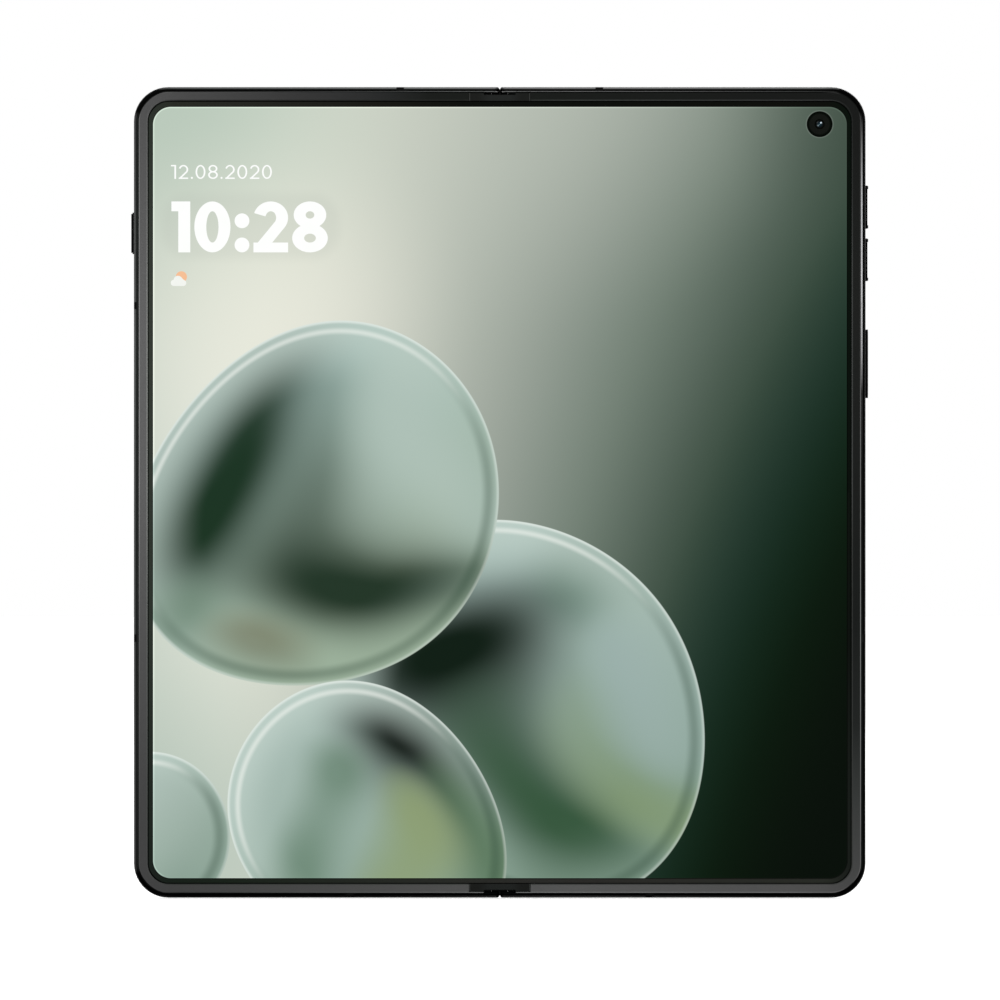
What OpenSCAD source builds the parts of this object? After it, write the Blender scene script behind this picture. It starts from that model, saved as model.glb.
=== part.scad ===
// Foldable smartphone, open flat, standing on its bottom edge.
// The display looks to -Y, the back to +Y, and the fold runs straight up in the middle.
// Every module is drawn lying flat, display up, and upright() stands it up.
// Depths run from the display plane towards the back.

/* [Body] */
// width of the open phone without its keys
open_w = 144.46; // [130:0.02:160]
// height of the phone
body_h = 160.05; // [140:0.05:180]
// depth from the display plane to the back
leaf_t = 4.55; // [4:0.05:7]
// radius of the outer corners, seen from the front
corner_r = 6.8; // [4:0.1:12]
// radius of the rounded outer edges of the side walls
edge_r = 0.8; // [0.3:0.05:1]
// thickness of the side walls
wall_w = 1.15; // [0.9:0.05:2]
// depth of the front of the middle plate
plate_front = 0.65; // [0.5:0.05:1]
// depth of the back of the middle plate
plate_back = 1.25; // [1:0.05:2]

/* [Rim and display] */
// distance of the raised rim from the outer edge
rim_in = 0.93; // [0.5:0.01:1.5]
// distance of the inner side of the rim from the outer edge
rim_out = 2.75; // [2:0.05:4]
// height of the rim over the display plane
rim_rise = 0.25; // [0.1:0.05:0.4]
// width of the lip that goes on from the rim beside the fold
rim_lip = 0.22; // [0.2:0.01:0.4]
// thickness of the display
display_t = 0.58; // [0.3:0.02:0.8]
// half width of the part of the display that bends
bend_half = 7; // [5:0.5:10]
// half width of the flexible shields at both ends of the fold
shield_half = 6; // [4:0.1:8]
// half width of the slot in the middle of each shield
slot_half = 3.1; // [2.8:0.1:4]

/* [Back] */
// thickness of the glass on the back
glass_t = 0.45; // [0.3:0.05:0.8]
// distance of the back glass from the outer edge
glass_in = 1; // [0.8:0.05:2]
// side of the square camera island
island_w = 37; // [30:0.5:42]
// height of the camera island over the back
island_h = 1.2; // [0.5:0.1:2]
// radius of the corners of the island
island_r = 9; // [5:0.5:14]
// outer radius of the camera rings
ring_r = 7.2; // [5:0.1:8]
// height of the rings over the island
ring_h = 1.4; // [0.5:0.1:2]

/* [Hinge] */
// half distance of the two hinge axes
axis_x = 2.25; // [2:0.05:3]
// depth of the hinge axes
axis_t = 1.855; // [1.5:0.005:2.4]
// radius of the hinge cover around each axis
cover_r = 2.1; // [1.8:0.05:2.2]
// wall of the hinge cover
cover_wall = 0.35; // [0.25:0.05:0.5]
// radius of the hubs of the hinge arms
hub_r = 1.15; // [1:0.05:1.2]
// radius of the hinge pins
pin_r = 0.5; // [0.4:0.02:0.6]
// running gap between a pin and its bore
run_gap = 0.03; // [0.01:0.01:0.1]
// half of the gap between the two halves
fold_gap = 0.1; // [0.05:0.05:0.2]
// teeth of each of the four timing gears
gear_teeth = 10; // [8:1:12]
// pitch radius of the timing gears
gear_r = 0.8; // [0.7:0.05:0.9]

/* [Keys and tray] */
// how far the keys stand out
key_out = 0.4; // [0.2:0.05:1]
// how much further the small lips of the keys stand out
lip_out = 0.15; // [0.05:0.05:0.3]
// depth of the front side of the keys
key_t0 = 1.4; // [1.3:0.05:2]
// depth of the rear side of the keys
key_t1 = 3.2; // [2.8:0.05:3.6]
// gap around a key in its slot
key_gap = 0.12; // [0.08:0.01:0.3]

/* [Hidden] */
$fn = 64;
over = 1;
touch = 0.02;
half_w = open_w / 2;
mid_y = body_h / 2;
back_max = leaf_t + island_h + ring_h;
stand_y = (rim_rise - back_max) / 2;
skin_t = leaf_t - glass_t;
seat_t = skin_t - 0.05;

// spine
spine_y0 = 1.4;
spine_y1 = body_h - spine_y0;
cover_in = cover_r - cover_wall;
idler_x = gear_r;
idler_t = axis_t + sqrt(pow(2 * gear_r, 2) - pow(axis_x - gear_r, 2));
mesh_a = atan2(idler_t - axis_t, axis_x - gear_r);
half_pitch = 180 / gear_teeth;
idler_pin_r = 0.22;
modules_y = [24, mid_y, body_h - 24];
block_l = 6;
block_steps = [-12, 0, 12];
arm_mid = -6;
arm_l = 5.6;
gear_y0 = 3.3;
gear_y1 = 5.3;
gear_arm_y1 = 8.8;
pin_half = 15;
tongue_t0 = 1.45;
tongue_t1 = 2.35;
tongue_x = 13;
block_front = 0.95;
arm_room = 0.3;

// hinge side of each half
bar_x = 1.6;
well_x = 7.3;
well_wall = 1;
wing_x0 = 3.6;
wing_px = 6.95;
wing_pt = 0.9;
wing_t0 = 0.62;
curl_r = 0.28;
wing_pin_r = 0.15;
centre_half = 2.6;
narrow_half = 0.85;

// places measured in the photograph
vol_up = [132.1, 140.65];
vol_down = [121.75, 130.2];
power_pos = [98.65, 112.2];
left_pos = [127.1, 135.3];
side_breaks = [[50.5, 52], [116.2, 117.6]];
top_break = [18.9, 20.4];
bottom_break = [28.8, 30.4];
eye_x = 63.15;
eye_y = 152.7;
eye_r = 2.53;

// camera island
island_x = 46.5;
island_y = 134.5;
lens_step = 8.6;
lens_places = [[-1, 1], [1, 1], [-1, -1]];
flash_place = [1, -1];
glass_r = 6.1;

// bottom edge
usb_x = 36;
usb_w = 9;
usb_h = 3.2;
usb_t = 2.3;
speaker_holes = [50, 52.2, 54.4, 56.6, 58.8, 61];
mic_xs = [11, 24];
tray_x = 45;
tray_w = 15;
tray_head_t0 = 1.6;
tray_head_t1 = 3.3;

// Stands the flat phone up and centres it over the origin.
module upright() {
    translate([0, stand_y, 0])
        rotate([90, 0, 0])
            children();
}

// The right half's shape, turned over for the left half.
module flip() {
    mirror([1, 0, 0])
        children();
}

module slab(x0, x1, y0, y1, t0, t1) {
    translate([x0, y0, -t1])
        cube([x1 - x0, y1 - y0, t1 - t0]);
}

module post(x, y, t0, t1, r) {
    translate([x, y, -t1])
        cylinder(r = r, h = t1 - t0);
}

module rod(x, t, y0, y1, r) {
    translate([x, y0, -t])
        rotate([-90, 0, 0])
            cylinder(r = r, h = y1 - y0);
}

module bar(y, t, x0, x1, r) {
    translate([x0, y, -t])
        rotate([0, 90, 0])
            cylinder(r = r, h = x1 - x0);
}

// A rectangle with round corners.
module soft_rect(x0, x1, y0, y1, r) {
    translate([x0 + r, y0])
        square([x1 - x0 - 2 * r, y1 - y0]);
    translate([x0, y0 + r])
        square([x1 - x0, y1 - y0 - 2 * r]);
    for (x = [x0 + r, x1 - r], y = [y0 + r, y1 - r])
        translate([x, y])
            circle(r = r);
}

module pad(x0, x1, y0, y1, t0, t1, r) {
    translate([0, 0, -t1])
        linear_extrude(height = t1 - t0)
            soft_rect(x0, x1, y0, y1, r);
}

// A pad whose rear edge is rounded by e.
module soft_pad(x0, x1, y0, y1, t0, t1, r, e) {
    pad(x0, x1, y0, y1, t0, t1 - e, r);
    pad(x0 + e, x1 - e, y0 + e, y1 - e, t0, t1, r - e);
    for (x = [x0 + e, x1 - e])
        rod(x, t1 - e, y0 + r, y1 - r, e);
    for (y = [y0 + e, y1 - e])
        bar(y, t1 - e, x0 + r, x1 - r, e);
    for (x = [x0 + r, x1 - r], y = [y0 + r, y1 - r])
        translate([x, y, e - t1])
            rotate_extrude()
                translate([r - e, 0])
                    circle(r = e);
}

// A cross section of the hinge, drawn over x and minus depth, made y1 - y0 long.
module along(y0, y1) {
    translate([0, y1, 0])
        rotate([90, 0, 0])
            linear_extrude(height = y1 - y0)
                children();
}

// A shape over height and minus depth, pushed out sideways from x0 to x1.
module sideways(x0, x1) {
    translate([x0, 0, 0])
        rotate([90, 0, 90])
            linear_extrude(height = x1 - x0)
                children();
}

// The outline of the right half, from x0, this far inside the outer edge.
module leaf_2d(x0, inset) {
    translate([x0, inset])
        square([half_w - corner_r - x0, body_h - 2 * inset]);
    translate([half_w - corner_r - over, corner_r])
        square([corner_r + over - inset, body_h - 2 * corner_r]);
    for (y = [corner_r, body_h - corner_r])
        translate([half_w - corner_r, y])
            circle(r = corner_r - inset);
}

module leaf(x0, inset, t0, t1) {
    translate([0, 0, -t1])
        linear_extrude(height = t1 - t0)
            leaf_2d(x0, inset);
}

// Carries a profile (distance inwards, height) around the three outer sides of the right half.
module around(x0) {
    run = half_w - corner_r - x0;
    translate([x0, 0, 0])
        rotate([90, 0, 90])
            linear_extrude(height = run)
                children();
    translate([half_w - corner_r, body_h, 0])
        rotate([90, 0, 270])
            linear_extrude(height = run)
                children();
    side_run(corner_r, body_h - corner_r)
        children();
    for (corner = [0, 1])
        translate([half_w - corner_r, corner * (body_h - 2 * corner_r) + corner_r, 0])
            rotate([0, 0, 90 * corner - 90])
                rotate_extrude(angle = 90)
                    translate([corner_r, 0])
                        mirror([1, 0])
                            children();
}

module side_run(y0, y1) {
    translate([half_w, y0, 0])
        rotate([90, 0, 180])
            linear_extrude(height = y1 - y0)
                children();
}

module end_run(x0, x1, top) {
    translate([top ? x1 : x0, top ? body_h : 0, 0])
        rotate([90, 0, top ? 270 : 90])
            linear_extrude(height = x1 - x0)
                children();
}

// Section of the side wall with its two round edges.
module wall_profile() {
    translate([0, edge_r - leaf_t])
        square([wall_w, leaf_t - 2 * edge_r]);
    translate([edge_r, -leaf_t])
        square([wall_w - edge_r, leaf_t]);
    intersection() {
        translate([0, -leaf_t])
            square([wall_w, leaf_t]);
        union()
            for (z = [-edge_r, edge_r - leaf_t])
                translate([edge_r, z])
                    circle(r = edge_r);
    }
}

// The wall without the groove for the rim and the seat of the back glass.
module trimmed_wall_profile() {
    difference() {
        wall_profile();
        translate([rim_in - touch, -plate_front])
            square([over, plate_front + over]);
        translate([glass_in - touch, -leaf_t - over])
            square([over, leaf_t + over - seat_t]);
    }
}

// What the fold leaves of a half near its axis.
module fold_round(y0, y1) {
    along(y0, y1)
        difference() {
            translate([-over, -axis_t])
                square([axis_x + over, axis_t + over]);
            translate([axis_x, -axis_t])
                circle(r = axis_x - fold_gap);
        }
}

// Rounds the outer end of an end wall beside the fold.
module notch_cut() {
    notch_r = 0.45;
    for (top = [0, 1])
        translate([fold_gap - touch, top * body_h, -leaf_t - over])
            linear_extrude(height = leaf_t + 2 * over)
                difference() {
                    translate([-over, -notch_r])
                        square([notch_r + over, 2 * notch_r]);
                    translate([notch_r, top * -2 * notch_r + notch_r])
                        circle(r = notch_r);
                }
}

module key_slot(pos) {
    sideways(half_w - wall_w - over, half_w + over)
        soft_rect(pos[0] - key_gap, pos[1] + key_gap, -key_t1 - key_gap, key_gap - key_t0, 0.9);
}

module arm_windows() {
    for (m = modules_y)
        slab(well_x - over, well_x + well_wall + over, m + arm_mid - arm_l / 2 - arm_room,
            m + arm_mid + arm_l / 2 + arm_room, plate_back, tongue_t1 + 0.1);
    slab(well_x - over, well_x + well_wall + over, mid_y + gear_y1 - arm_room,
        mid_y + gear_arm_y1 + arm_room, plate_back, tongue_t1 + 0.1);
}

// Metal body of one half: walls, middle plate, hinge side and the bar beside the fold.
module half_frame() {
    difference() {
        union() {
            around(fold_gap)
                trimmed_wall_profile();
            leaf(well_x, wall_w - touch, plate_front, plate_back);
            slab(well_x, well_x + well_wall, wall_w - touch, body_h - wall_w + touch,
                plate_back - touch, seat_t);
            slab(fold_gap, bar_x, wall_w - touch, body_h - wall_w + touch, skin_t, leaf_t);
            for (y = [wall_w - touch, body_h - wall_w + touch - 1])
                slab(wing_px - 0.5, well_x + touch, y, y + 1, plate_front, plate_back);
            for (y = [36, 58, 98, 112])
                slab(well_x + well_wall - touch, well_x + well_wall + 1.2, y, y + 3,
                    plate_back - touch, seat_t);
        }
        fold_round(-over, body_h + over);
        notch_cut();
        arm_windows();
        rod(wing_px, wing_pt, -over + wall_w, body_h - wall_w + over, wing_pin_r + 0.01);
        for (b = side_breaks)
            slab(half_w - wall_w, half_w + over, b[0], b[1], -over, leaf_t + over);
        slab(top_break[0], top_break[1], body_h - wall_w, body_h + over, -over, leaf_t + over);
        slab(bottom_break[0], bottom_break[1], -over, wall_w, -over, leaf_t + over);
    }
}

module screw_holes(places) {
    for (p = places)
        post(p[0], p[1], plate_front - over, plate_back + over, 0.45);
}

module right_frame() {
    color([0.13, 0.135, 0.14])
        upright()
            difference() {
                half_frame();
                key_slot(vol_up);
                key_slot(vol_down);
                key_slot(power_pos);
                post(eye_x, eye_y, 0, leaf_t, 2.7);
                usb_hole();
                for (x = speaker_holes)
                    rod(x, usb_t, -over, wall_w + over, 0.55);
                for (x = mic_xs)
                    rod(x, usb_t, -over, wall_w + over, 0.3);
                for (x = [12, 44])
                    rod(x, usb_t, body_h - wall_w - over, body_h + over, 0.3);
                screw_holes(right_screw_places);
                slab(usb_x - 5.2, usb_x + 5.2, wall_w, 8.6, 0, 1.3);
            }
}

module usb_hole() {
    translate([0, wall_w + over, 0])
        rotate([90, 0, 0])
            linear_extrude(height = wall_w + 2 * over)
                soft_rect(usb_x - usb_w / 2, usb_x + usb_w / 2, -usb_t - usb_h / 2,
                    usb_h / 2 - usb_t, usb_h / 2 - touch);
}

module left_frame() {
    color([0.13, 0.135, 0.14])
        upright()
            flip()
                difference() {
                    half_frame();
                    key_slot(left_pos);
                    slab(tray_x - tray_w / 2 - key_gap, tray_x + tray_w / 2 + key_gap, -over,
                        wall_w + over, tray_head_t0 - key_gap, tray_head_t1 + key_gap);
                    rod(tray_x + 11, usb_t, -over, wall_w + over, 0.45);
                    for (x = mic_xs)
                        rod(x, usb_t, -over, wall_w + over, 0.3);
                    for (x = [30, 31.6, 33.2, 34.8, 36.4, 38])
                        rod(x, usb_t, body_h - wall_w - over, body_h + over, 0.45);
                    screw_holes(left_screw_places);
                }
}

// Plastic gaps in the metal walls that let radio waves through.
module breaks() {
    for (b = side_breaks)
        side_run(b[0], b[1])
            trimmed_wall_profile();
    end_run(top_break[0], top_break[1], true)
        trimmed_wall_profile();
    end_run(bottom_break[0], bottom_break[1], false)
        trimmed_wall_profile();
}

module right_breaks() {
    color([0.2, 0.2, 0.21])
        upright()
            breaks();
}

module left_breaks() {
    color([0.2, 0.2, 0.21])
        upright()
            flip()
                breaks();
}

// Raised rim that keeps the two displays apart when the phone is shut.
module rim() {
    soft = 0.2;
    lip_low = 0.03;
    around(shield_half + 0.1) {
        translate([rim_in, -plate_front + touch])
            square([rim_out - rim_in, plate_front - touch + rim_rise - soft]);
        translate([rim_in + soft, 0])
            square([rim_out - rim_in - 2 * soft, rim_rise]);
        for (u = [rim_in + soft, rim_out - soft])
            translate([u, rim_rise - soft])
                circle(r = soft);
    }
    for (top = [false, true])
        end_run(slot_half, shield_half + 0.1 + touch, top)
            translate([rim_in, -plate_front + touch])
                square([rim_lip, plate_front - touch + rim_rise - lip_low]);
}

module right_rim() {
    color([0.32, 0.32, 0.33])
        upright()
            rim();
}

module left_rim() {
    color([0.32, 0.32, 0.33])
        upright()
            flip()
                rim();
}

module right_display() {
    color([0.25, 0.36, 0.3])
        upright()
            difference() {
                leaf(bend_half, rim_out + touch, 0, display_t);
                post(eye_x, eye_y, -over, display_t + over, eye_r + touch);
            }
}

module left_display() {
    color([0.68, 0.76, 0.7])
        upright()
            flip()
                leaf(bend_half, rim_out + touch, 0, display_t);
}

// The part of the display that bends when the phone is folded.
module fold_display() {
    color([0.5, 0.6, 0.52])
        upright()
            slab(-bend_half, bend_half, rim_out + touch, body_h - rim_out - touch, 0, display_t);
}

// Thin flexible covers over both ends of the fold.
module fold_shields() {
    shield_t = 0.12;
    slot_end = 1.6;
    shield_y = rim_in + rim_lip + touch;
    color([0.05, 0.05, 0.055])
        upright()
            for (y = [0, 1])
                translate([0, y * body_h, 0])
                    mirror([0, y, 0])
                        difference() {
                            slab(-shield_half, shield_half, shield_y, rim_out, -shield_t, 0.1);
                            slab(-slot_half, slot_half, 0, slot_end, -shield_t - over, over);
                        }
}

module inner_camera_window() {
    color([0.02, 0.02, 0.03])
        upright()
            difference() {
                post(eye_x, eye_y, 0.02, display_t, eye_r);
                post(eye_x, eye_y, -over, over, 1);
            }
}

module inner_camera_lens() {
    cap_r = 1.6;
    color([0.1, 0.12, 0.2])
        upright()
            intersection() {
                post(eye_x, eye_y, 0.12, display_t, 0.98);
                translate([eye_x, eye_y, -0.12 - cap_r])
                    sphere(r = cap_r);
            }
}

module inner_camera_body() {
    color([0.08, 0.08, 0.09])
        upright() {
            post(eye_x, eye_y, display_t + touch, 1.6, 2.6);
            pad(eye_x - 3.2, eye_x + 3.2, eye_y - 3.2, eye_y + 3.2, 1.6, 3.9, 0.5);
        }
}

module island_shape(t0, t1, grow) {
    pad(island_x - island_w / 2 - grow, island_x + island_w / 2 + grow,
        island_y - island_w / 2 - grow, island_y + island_w / 2 + grow, t0, t1, island_r + grow);
}

// Glass on the back of the half with the cameras.
module back_panel() {
    color([0.12, 0.17, 0.15])
        upright()
            difference() {
                leaf(bar_x + touch, glass_in, skin_t, leaf_t);
                island_shape(0, leaf_t + over, touch);
            }
}

module lens_holes(r, t0, t1) {
    for (p = lens_places)
        post(island_x + p[0] * lens_step, island_y + p[1] * lens_step, t0, t1, r);
}

module flash_hole(r, t0, t1) {
    post(island_x + flash_place[0] * lens_step, island_y + flash_place[1] * lens_step, t0, t1, r);
}

module camera_island() {
    color([0.12, 0.17, 0.15])
        upright()
            difference() {
                soft_pad(island_x - island_w / 2, island_x + island_w / 2,
                    island_y - island_w / 2, island_y + island_w / 2,
                    skin_t, leaf_t + island_h, island_r, 0.8);
                lens_holes(glass_r + touch, 0, back_max);
                flash_hole(3.4, 0, back_max);
            }
}

module camera_rings() {
    top_t = leaf_t + island_h;
    color([0.3, 0.31, 0.32])
        upright()
            difference() {
                union() {
                    lens_holes(ring_r, top_t, back_max - 0.3);
                    lens_holes(ring_r - 0.3, top_t, back_max);
                    flash_hole(ring_r, top_t, back_max - 0.3);
                    flash_hole(ring_r - 0.3, top_t, back_max);
                }
                lens_holes(glass_r, 0, back_max + over);
                flash_hole(glass_r, 0, back_max + over);
            }
}

module camera_glasses() {
    color([0.05, 0.06, 0.08, 0.6])
        upright() {
            lens_holes(glass_r - touch, back_max - 0.75, back_max - 0.25);
            flash_hole(glass_r - touch, back_max - 0.75, back_max - 0.25);
        }
}

// Round lens barrels under the glasses, each with a domed front lens.
module camera_lenses() {
    barrel_t = back_max - 0.85;
    cap_r = 4;
    color([0.06, 0.06, 0.08])
        upright()
            for (p = lens_places)
                translate([island_x + p[0] * lens_step, island_y + p[1] * lens_step, 0]) {
                    difference() {
                        post(0, 0, skin_t + touch, barrel_t, 5.6);
                        post(0, 0, barrel_t - 0.5, back_max, 4.4);
                        post(0, 0, barrel_t - 0.8, back_max, 3.4);
                    }
                    intersection() {
                        post(0, 0, skin_t, barrel_t - 0.1, 2.6);
                        translate([0, 0, cap_r - barrel_t + 0.1])
                            sphere(r = cap_r);
                    }
                }
}

module camera_modules() {
    color([0.35, 0.3, 0.15])
        upright()
            for (p = lens_places)
                translate([island_x + p[0] * lens_step, island_y + p[1] * lens_step, 0]) {
                    pad(-6, 6, -6, 6, plate_back + 0.15, 3.4, 1);
                    post(0, 0, 3.4 - touch, skin_t, 5.2);
                }
}

module flash_lens() {
    color([0.95, 0.9, 0.7])
        upright() {
            flash_hole(3.3, skin_t, leaf_t + island_h + 0.2);
            flash_hole(4.6, leaf_t + island_h + touch, leaf_t + island_h + 0.35);
        }
}

// A side key: a bar with round ends, a flange behind the wall and a nub for the switch.
module key_body(pos, rise) {
    wall_in = half_w - wall_w;
    flange_x = wall_in - touch;
    sideways(flange_x, half_w + rise)
        soft_rect(pos[0], pos[1], -key_t1, -key_t0, 0.88);
    sideways(flange_x - 0.35, flange_x + 0.01)
        soft_rect(pos[0] - 0.6, pos[1] + 0.6, -key_t1 - 0.4, -key_t0 + 0.1, 0.8);
    bar((pos[0] + pos[1]) / 2, (key_t0 + key_t1) / 2, flange_x - 0.8, flange_x, 0.4);
}

module lips(pos, wide) {
    for (y = [pos[0] + 0.1, pos[1] - 0.1 - wide])
        sideways(half_w + key_out - touch, half_w + key_out + lip_out)
            soft_rect(y, y + wide, -key_t1 + 0.3, -key_t0 - 0.3, 0.25);
}

module volume_up_key() {
    color([0.1, 0.1, 0.11])
        upright() {
            key_body(vol_up, key_out);
            lips(vol_up, 0.6);
        }
}

module volume_down_key() {
    color([0.1, 0.1, 0.11])
        upright() {
            key_body(vol_down, key_out);
            lips(vol_down, 0.6);
        }
}

module power_key() {
    color([0.16, 0.16, 0.17])
        upright() {
            key_body(power_pos, key_out + 0.1);
            sideways(half_w + key_out, half_w + key_out + 0.12)
                soft_rect(power_pos[0] + 0.6, power_pos[1] - 0.6, 0.3 - key_t1, -0.3 - key_t0, 0.55);
        }
}

module side_key() {
    taper = 0.25;
    color([0.1, 0.1, 0.11])
        upright()
            flip() {
                key_body(left_pos, key_out - 0.1);
                sideways(half_w + key_out - 0.12, half_w + key_out + lip_out)
                    soft_rect(left_pos[0] + taper, left_pos[1] - taper,
                        taper - key_t1, -taper - key_t0, 0.6);
            }
}

// A dome switch on its carrier, behind one key.
module switch(pos) {
    y = (pos[0] + pos[1]) / 2;
    dome_x = half_w - wall_w - 1.25;
    sideways(dome_x - 0.9, dome_x - 0.4)
        soft_rect(y - 2.6, y + 2.6, -key_t1, -key_t0, 0.2);
    bar(y, (key_t0 + key_t1) / 2, dome_x - 0.42, dome_x - 0.15, 0.85);
    bar(y, (key_t0 + key_t1) / 2, dome_x - 0.2, dome_x, 0.55);
}

module right_switches() {
    carrier_x = half_w - wall_w - 2.5;
    color([0.6, 0.45, 0.2])
        upright() {
            switch(vol_up);
            switch(vol_down);
            switch(power_pos);
            slab(carrier_x, carrier_x + 0.37, power_pos[0], vol_up[1], key_t0, key_t1);
        }
}

module left_switch() {
    carrier_x = half_w - wall_w - 2.5;
    color([0.6, 0.45, 0.2])
        upright()
            flip() {
                switch(left_pos);
                slab(carrier_x, carrier_x + 0.37, left_pos[0], left_pos[1], key_t0, key_t1);
            }
}

module battery(x0, x1, y0, y1, t1) {
    pad(x0, x1, y0, y1, plate_back + 0.1, t1, 2);
    pad(x0 + 6, x1 - 6, y1 - touch, y1 + 2.2, plate_back + 0.4, t1 - 0.8, 0.5);
}

module right_battery() {
    color([0.2, 0.2, 0.22])
        upright()
            battery(14, 66, 26, 92, 3.95);
}

module left_battery() {
    color([0.2, 0.2, 0.22])
        upright()
            flip()
                battery(14, 66, 30, 118, 3.2);
}

// Circuit board beside and above the cameras, with its metal shields.
module main_board() {
    board_t0 = plate_back + 0.3;
    board_t1 = 2;
    color([0.05, 0.22, 0.12])
        upright()
            difference() {
                union() {
                    pad(14, 67, 96, 157.5, board_t0, board_t1, 2);
                    pad(15, 26, 118, 150, board_t1 - touch, 3.5, 0.5);
                    pad(15, 30, 98, 112, board_t1 - touch, 3.2, 0.5);
                    pad(34, 64, 98, 112, board_t1 - touch, 3.4, 0.5);
                }
                island_shape(0, leaf_t, 0.5);
                pad(eye_x - 4, 80, eye_y - 4, 170, 0, leaf_t, 0.5);
                slab(half_w - 6.4, 80, 96, 145, 0, leaf_t);
            }
}

module sub_board() {
    color([0.05, 0.22, 0.12])
        upright() {
            pad(14, 30, 3, 22, plate_back + 0.3, 2, 1);
            pad(15.5, 25, 6, 16, 2 - touch, 3.2, 0.5);
            for (x = [16.5, 19, 21.5])
                pad(x, x + 1.4, 17.5, 20, 2 - touch, 2.8, 0.2);
        }
}

// Socket for the charging plug: a metal shell with a tongue inside.
module usb_port() {
    shell_y1 = 8.4;
    color([0.7, 0.7, 0.72])
        upright()
            translate([0, shell_y1, 0])
                rotate([90, 0, 0]) {
                    linear_extrude(height = shell_y1 - wall_w)
                        difference() {
                            soft_rect(usb_x - usb_w / 2 - 0.25, usb_x + usb_w / 2 + 0.25,
                                -usb_t - usb_h / 2 - 0.03, usb_h / 2 - usb_t + 0.03, 1.6);
                            soft_rect(usb_x - usb_w / 2 + 0.05, usb_x + usb_w / 2 - 0.05,
                                0.25 - usb_t - usb_h / 2, usb_h / 2 - usb_t - 0.25, 1.3);
                        }
                    linear_extrude(height = 0.6)
                        soft_rect(usb_x - usb_w / 2, usb_x + usb_w / 2,
                            -usb_t - usb_h / 2, usb_h / 2 - usb_t, 1.5);
                    linear_extrude(height = 6)
                        soft_rect(usb_x - 3.3, usb_x + 3.3, -usb_t - 0.33, 0.33 - usb_t, 0.3);
                }
}

module bottom_speaker() {
    color([0.12, 0.12, 0.13])
        upright() {
            pad(46.5, 64.5, 3, 20, plate_back + 0.1, 3.9, 1.5);
            slab(49, 62, wall_w + touch, 3 + touch, 1.6, 3);
        }
}

module top_speaker() {
    color([0.12, 0.12, 0.13])
        upright()
            flip() {
                pad(26, 42, 145, 157, plate_back + 0.1, 3.2, 1.5);
                slab(29, 39, 157 - touch, body_h - wall_w - touch, 1.7, 2.9);
            }
}

module vibration_motor() {
    color([0.62, 0.63, 0.65])
        upright()
            flip() {
                pad(15, 27, 10, 20, plate_back + 0.1, 3.2, 0.8);
                pad(27 - touch, 29, 13, 17, plate_back + 0.1, 1.8, 0.3);
            }
}

// Card tray: a plate with a cut-out for the card and a head that closes the slot.
module sim_tray() {
    head_y = 0.75;
    color([0.15, 0.15, 0.16])
        upright()
            flip()
                difference() {
                    union() {
                        slab(tray_x - tray_w / 2, tray_x + tray_w / 2, 0.05, head_y,
                            tray_head_t0, tray_head_t1);
                        pad(tray_x - tray_w / 2 + 0.6, tray_x + tray_w / 2 - 0.6, head_y - touch, 20,
                            tray_head_t0 + 0.2, tray_head_t1 - 0.5, 0.4);
                    }
                    pad(tray_x - 6, tray_x + 6, 3.4, 18.4, tray_head_t0 + 0.5, leaf_t, 0.8);
                    slab(tray_x - 5, tray_x + 5, 5, 17, 0, leaf_t);
                }
}

module sim_socket() {
    color([0.66, 0.67, 0.69])
        upright()
            flip()
                difference() {
                    pad(tray_x - tray_w / 2 - 1, tray_x + tray_w / 2 + 1, 2, 24,
                        plate_back + 0.05, 3.35, 0.6);
                    slab(tray_x - tray_w / 2 + 0.35, tray_x + tray_w / 2 - 0.35, -over, 21,
                        tray_head_t0, tray_head_t1 - 0.3);
                    for (y = [6, 12, 18])
                        slab(tray_x - 4, tray_x + 4, y - 1.2, y + 1.2, tray_head_t1 - over, leaf_t);
                }
}

magnet_places = [[68.9, 20], [68.9, 34], [68.9, 60], [68.9, 74]];

module magnets() {
    for (m = magnet_places)
        slab(m[0] - 0.8, m[0] + 0.8, m[1], m[1] + 10, plate_back + touch, 2.9);
}

module right_magnets() {
    color([0.75, 0.75, 0.77])
        upright()
            magnets();
}

module left_magnets() {
    color([0.75, 0.75, 0.77])
        upright()
            flip()
                magnets();
}

right_screw_places = [[11.5, 4.2], [11.5, 94.5], [68, 94.5], [32, 115], [68.5, 5], [11.5, 114.5]];
left_screw_places = [[11.5, 4.2], [30, 25], [66, 25], [11.5, 123], [66, 123], [66, 153]];

// A small screw put in from the back.
module screw(x, y) {
    difference() {
        union() {
            post(x, y, plate_front + touch, plate_back + touch, 0.44);
            post(x, y, plate_back + touch, plate_back + 0.28, 0.9);
        }
        post(x, y, plate_back + 0.12, plate_back + over, 0.25, $fn = 6);
    }
}

module screws(places) {
    for (p = places)
        screw(p[0], p[1]);
}

module right_screws() {
    color([0.78, 0.78, 0.8])
        upright()
            screws(right_screw_places);
}

module left_screws() {
    color([0.78, 0.78, 0.8])
        upright()
            flip()
                screws(left_screw_places);
}

// Glass over the outer display.
module cover_glass() {
    color([0.05, 0.05, 0.06])
        upright()
            flip()
                leaf(bar_x + touch, glass_in, skin_t, leaf_t);
}

module cover_panel() {
    color([0.1, 0.12, 0.16])
        upright()
            flip()
                difference() {
                    leaf(well_x + well_wall + 1.4, 2.6, 3.4, skin_t - 0.05);
                    post(36.9, 152.6, 0, leaf_t, 2.3);
                }
}

module cover_camera() {
    color([0.06, 0.07, 0.09])
        upright()
            flip() {
                post(36.9, 152.6, 3.25, skin_t - touch, 2.1);
                post(36.9, 152.6, 3.25 - touch, 3.4, 2.25);
            }
}

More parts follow.
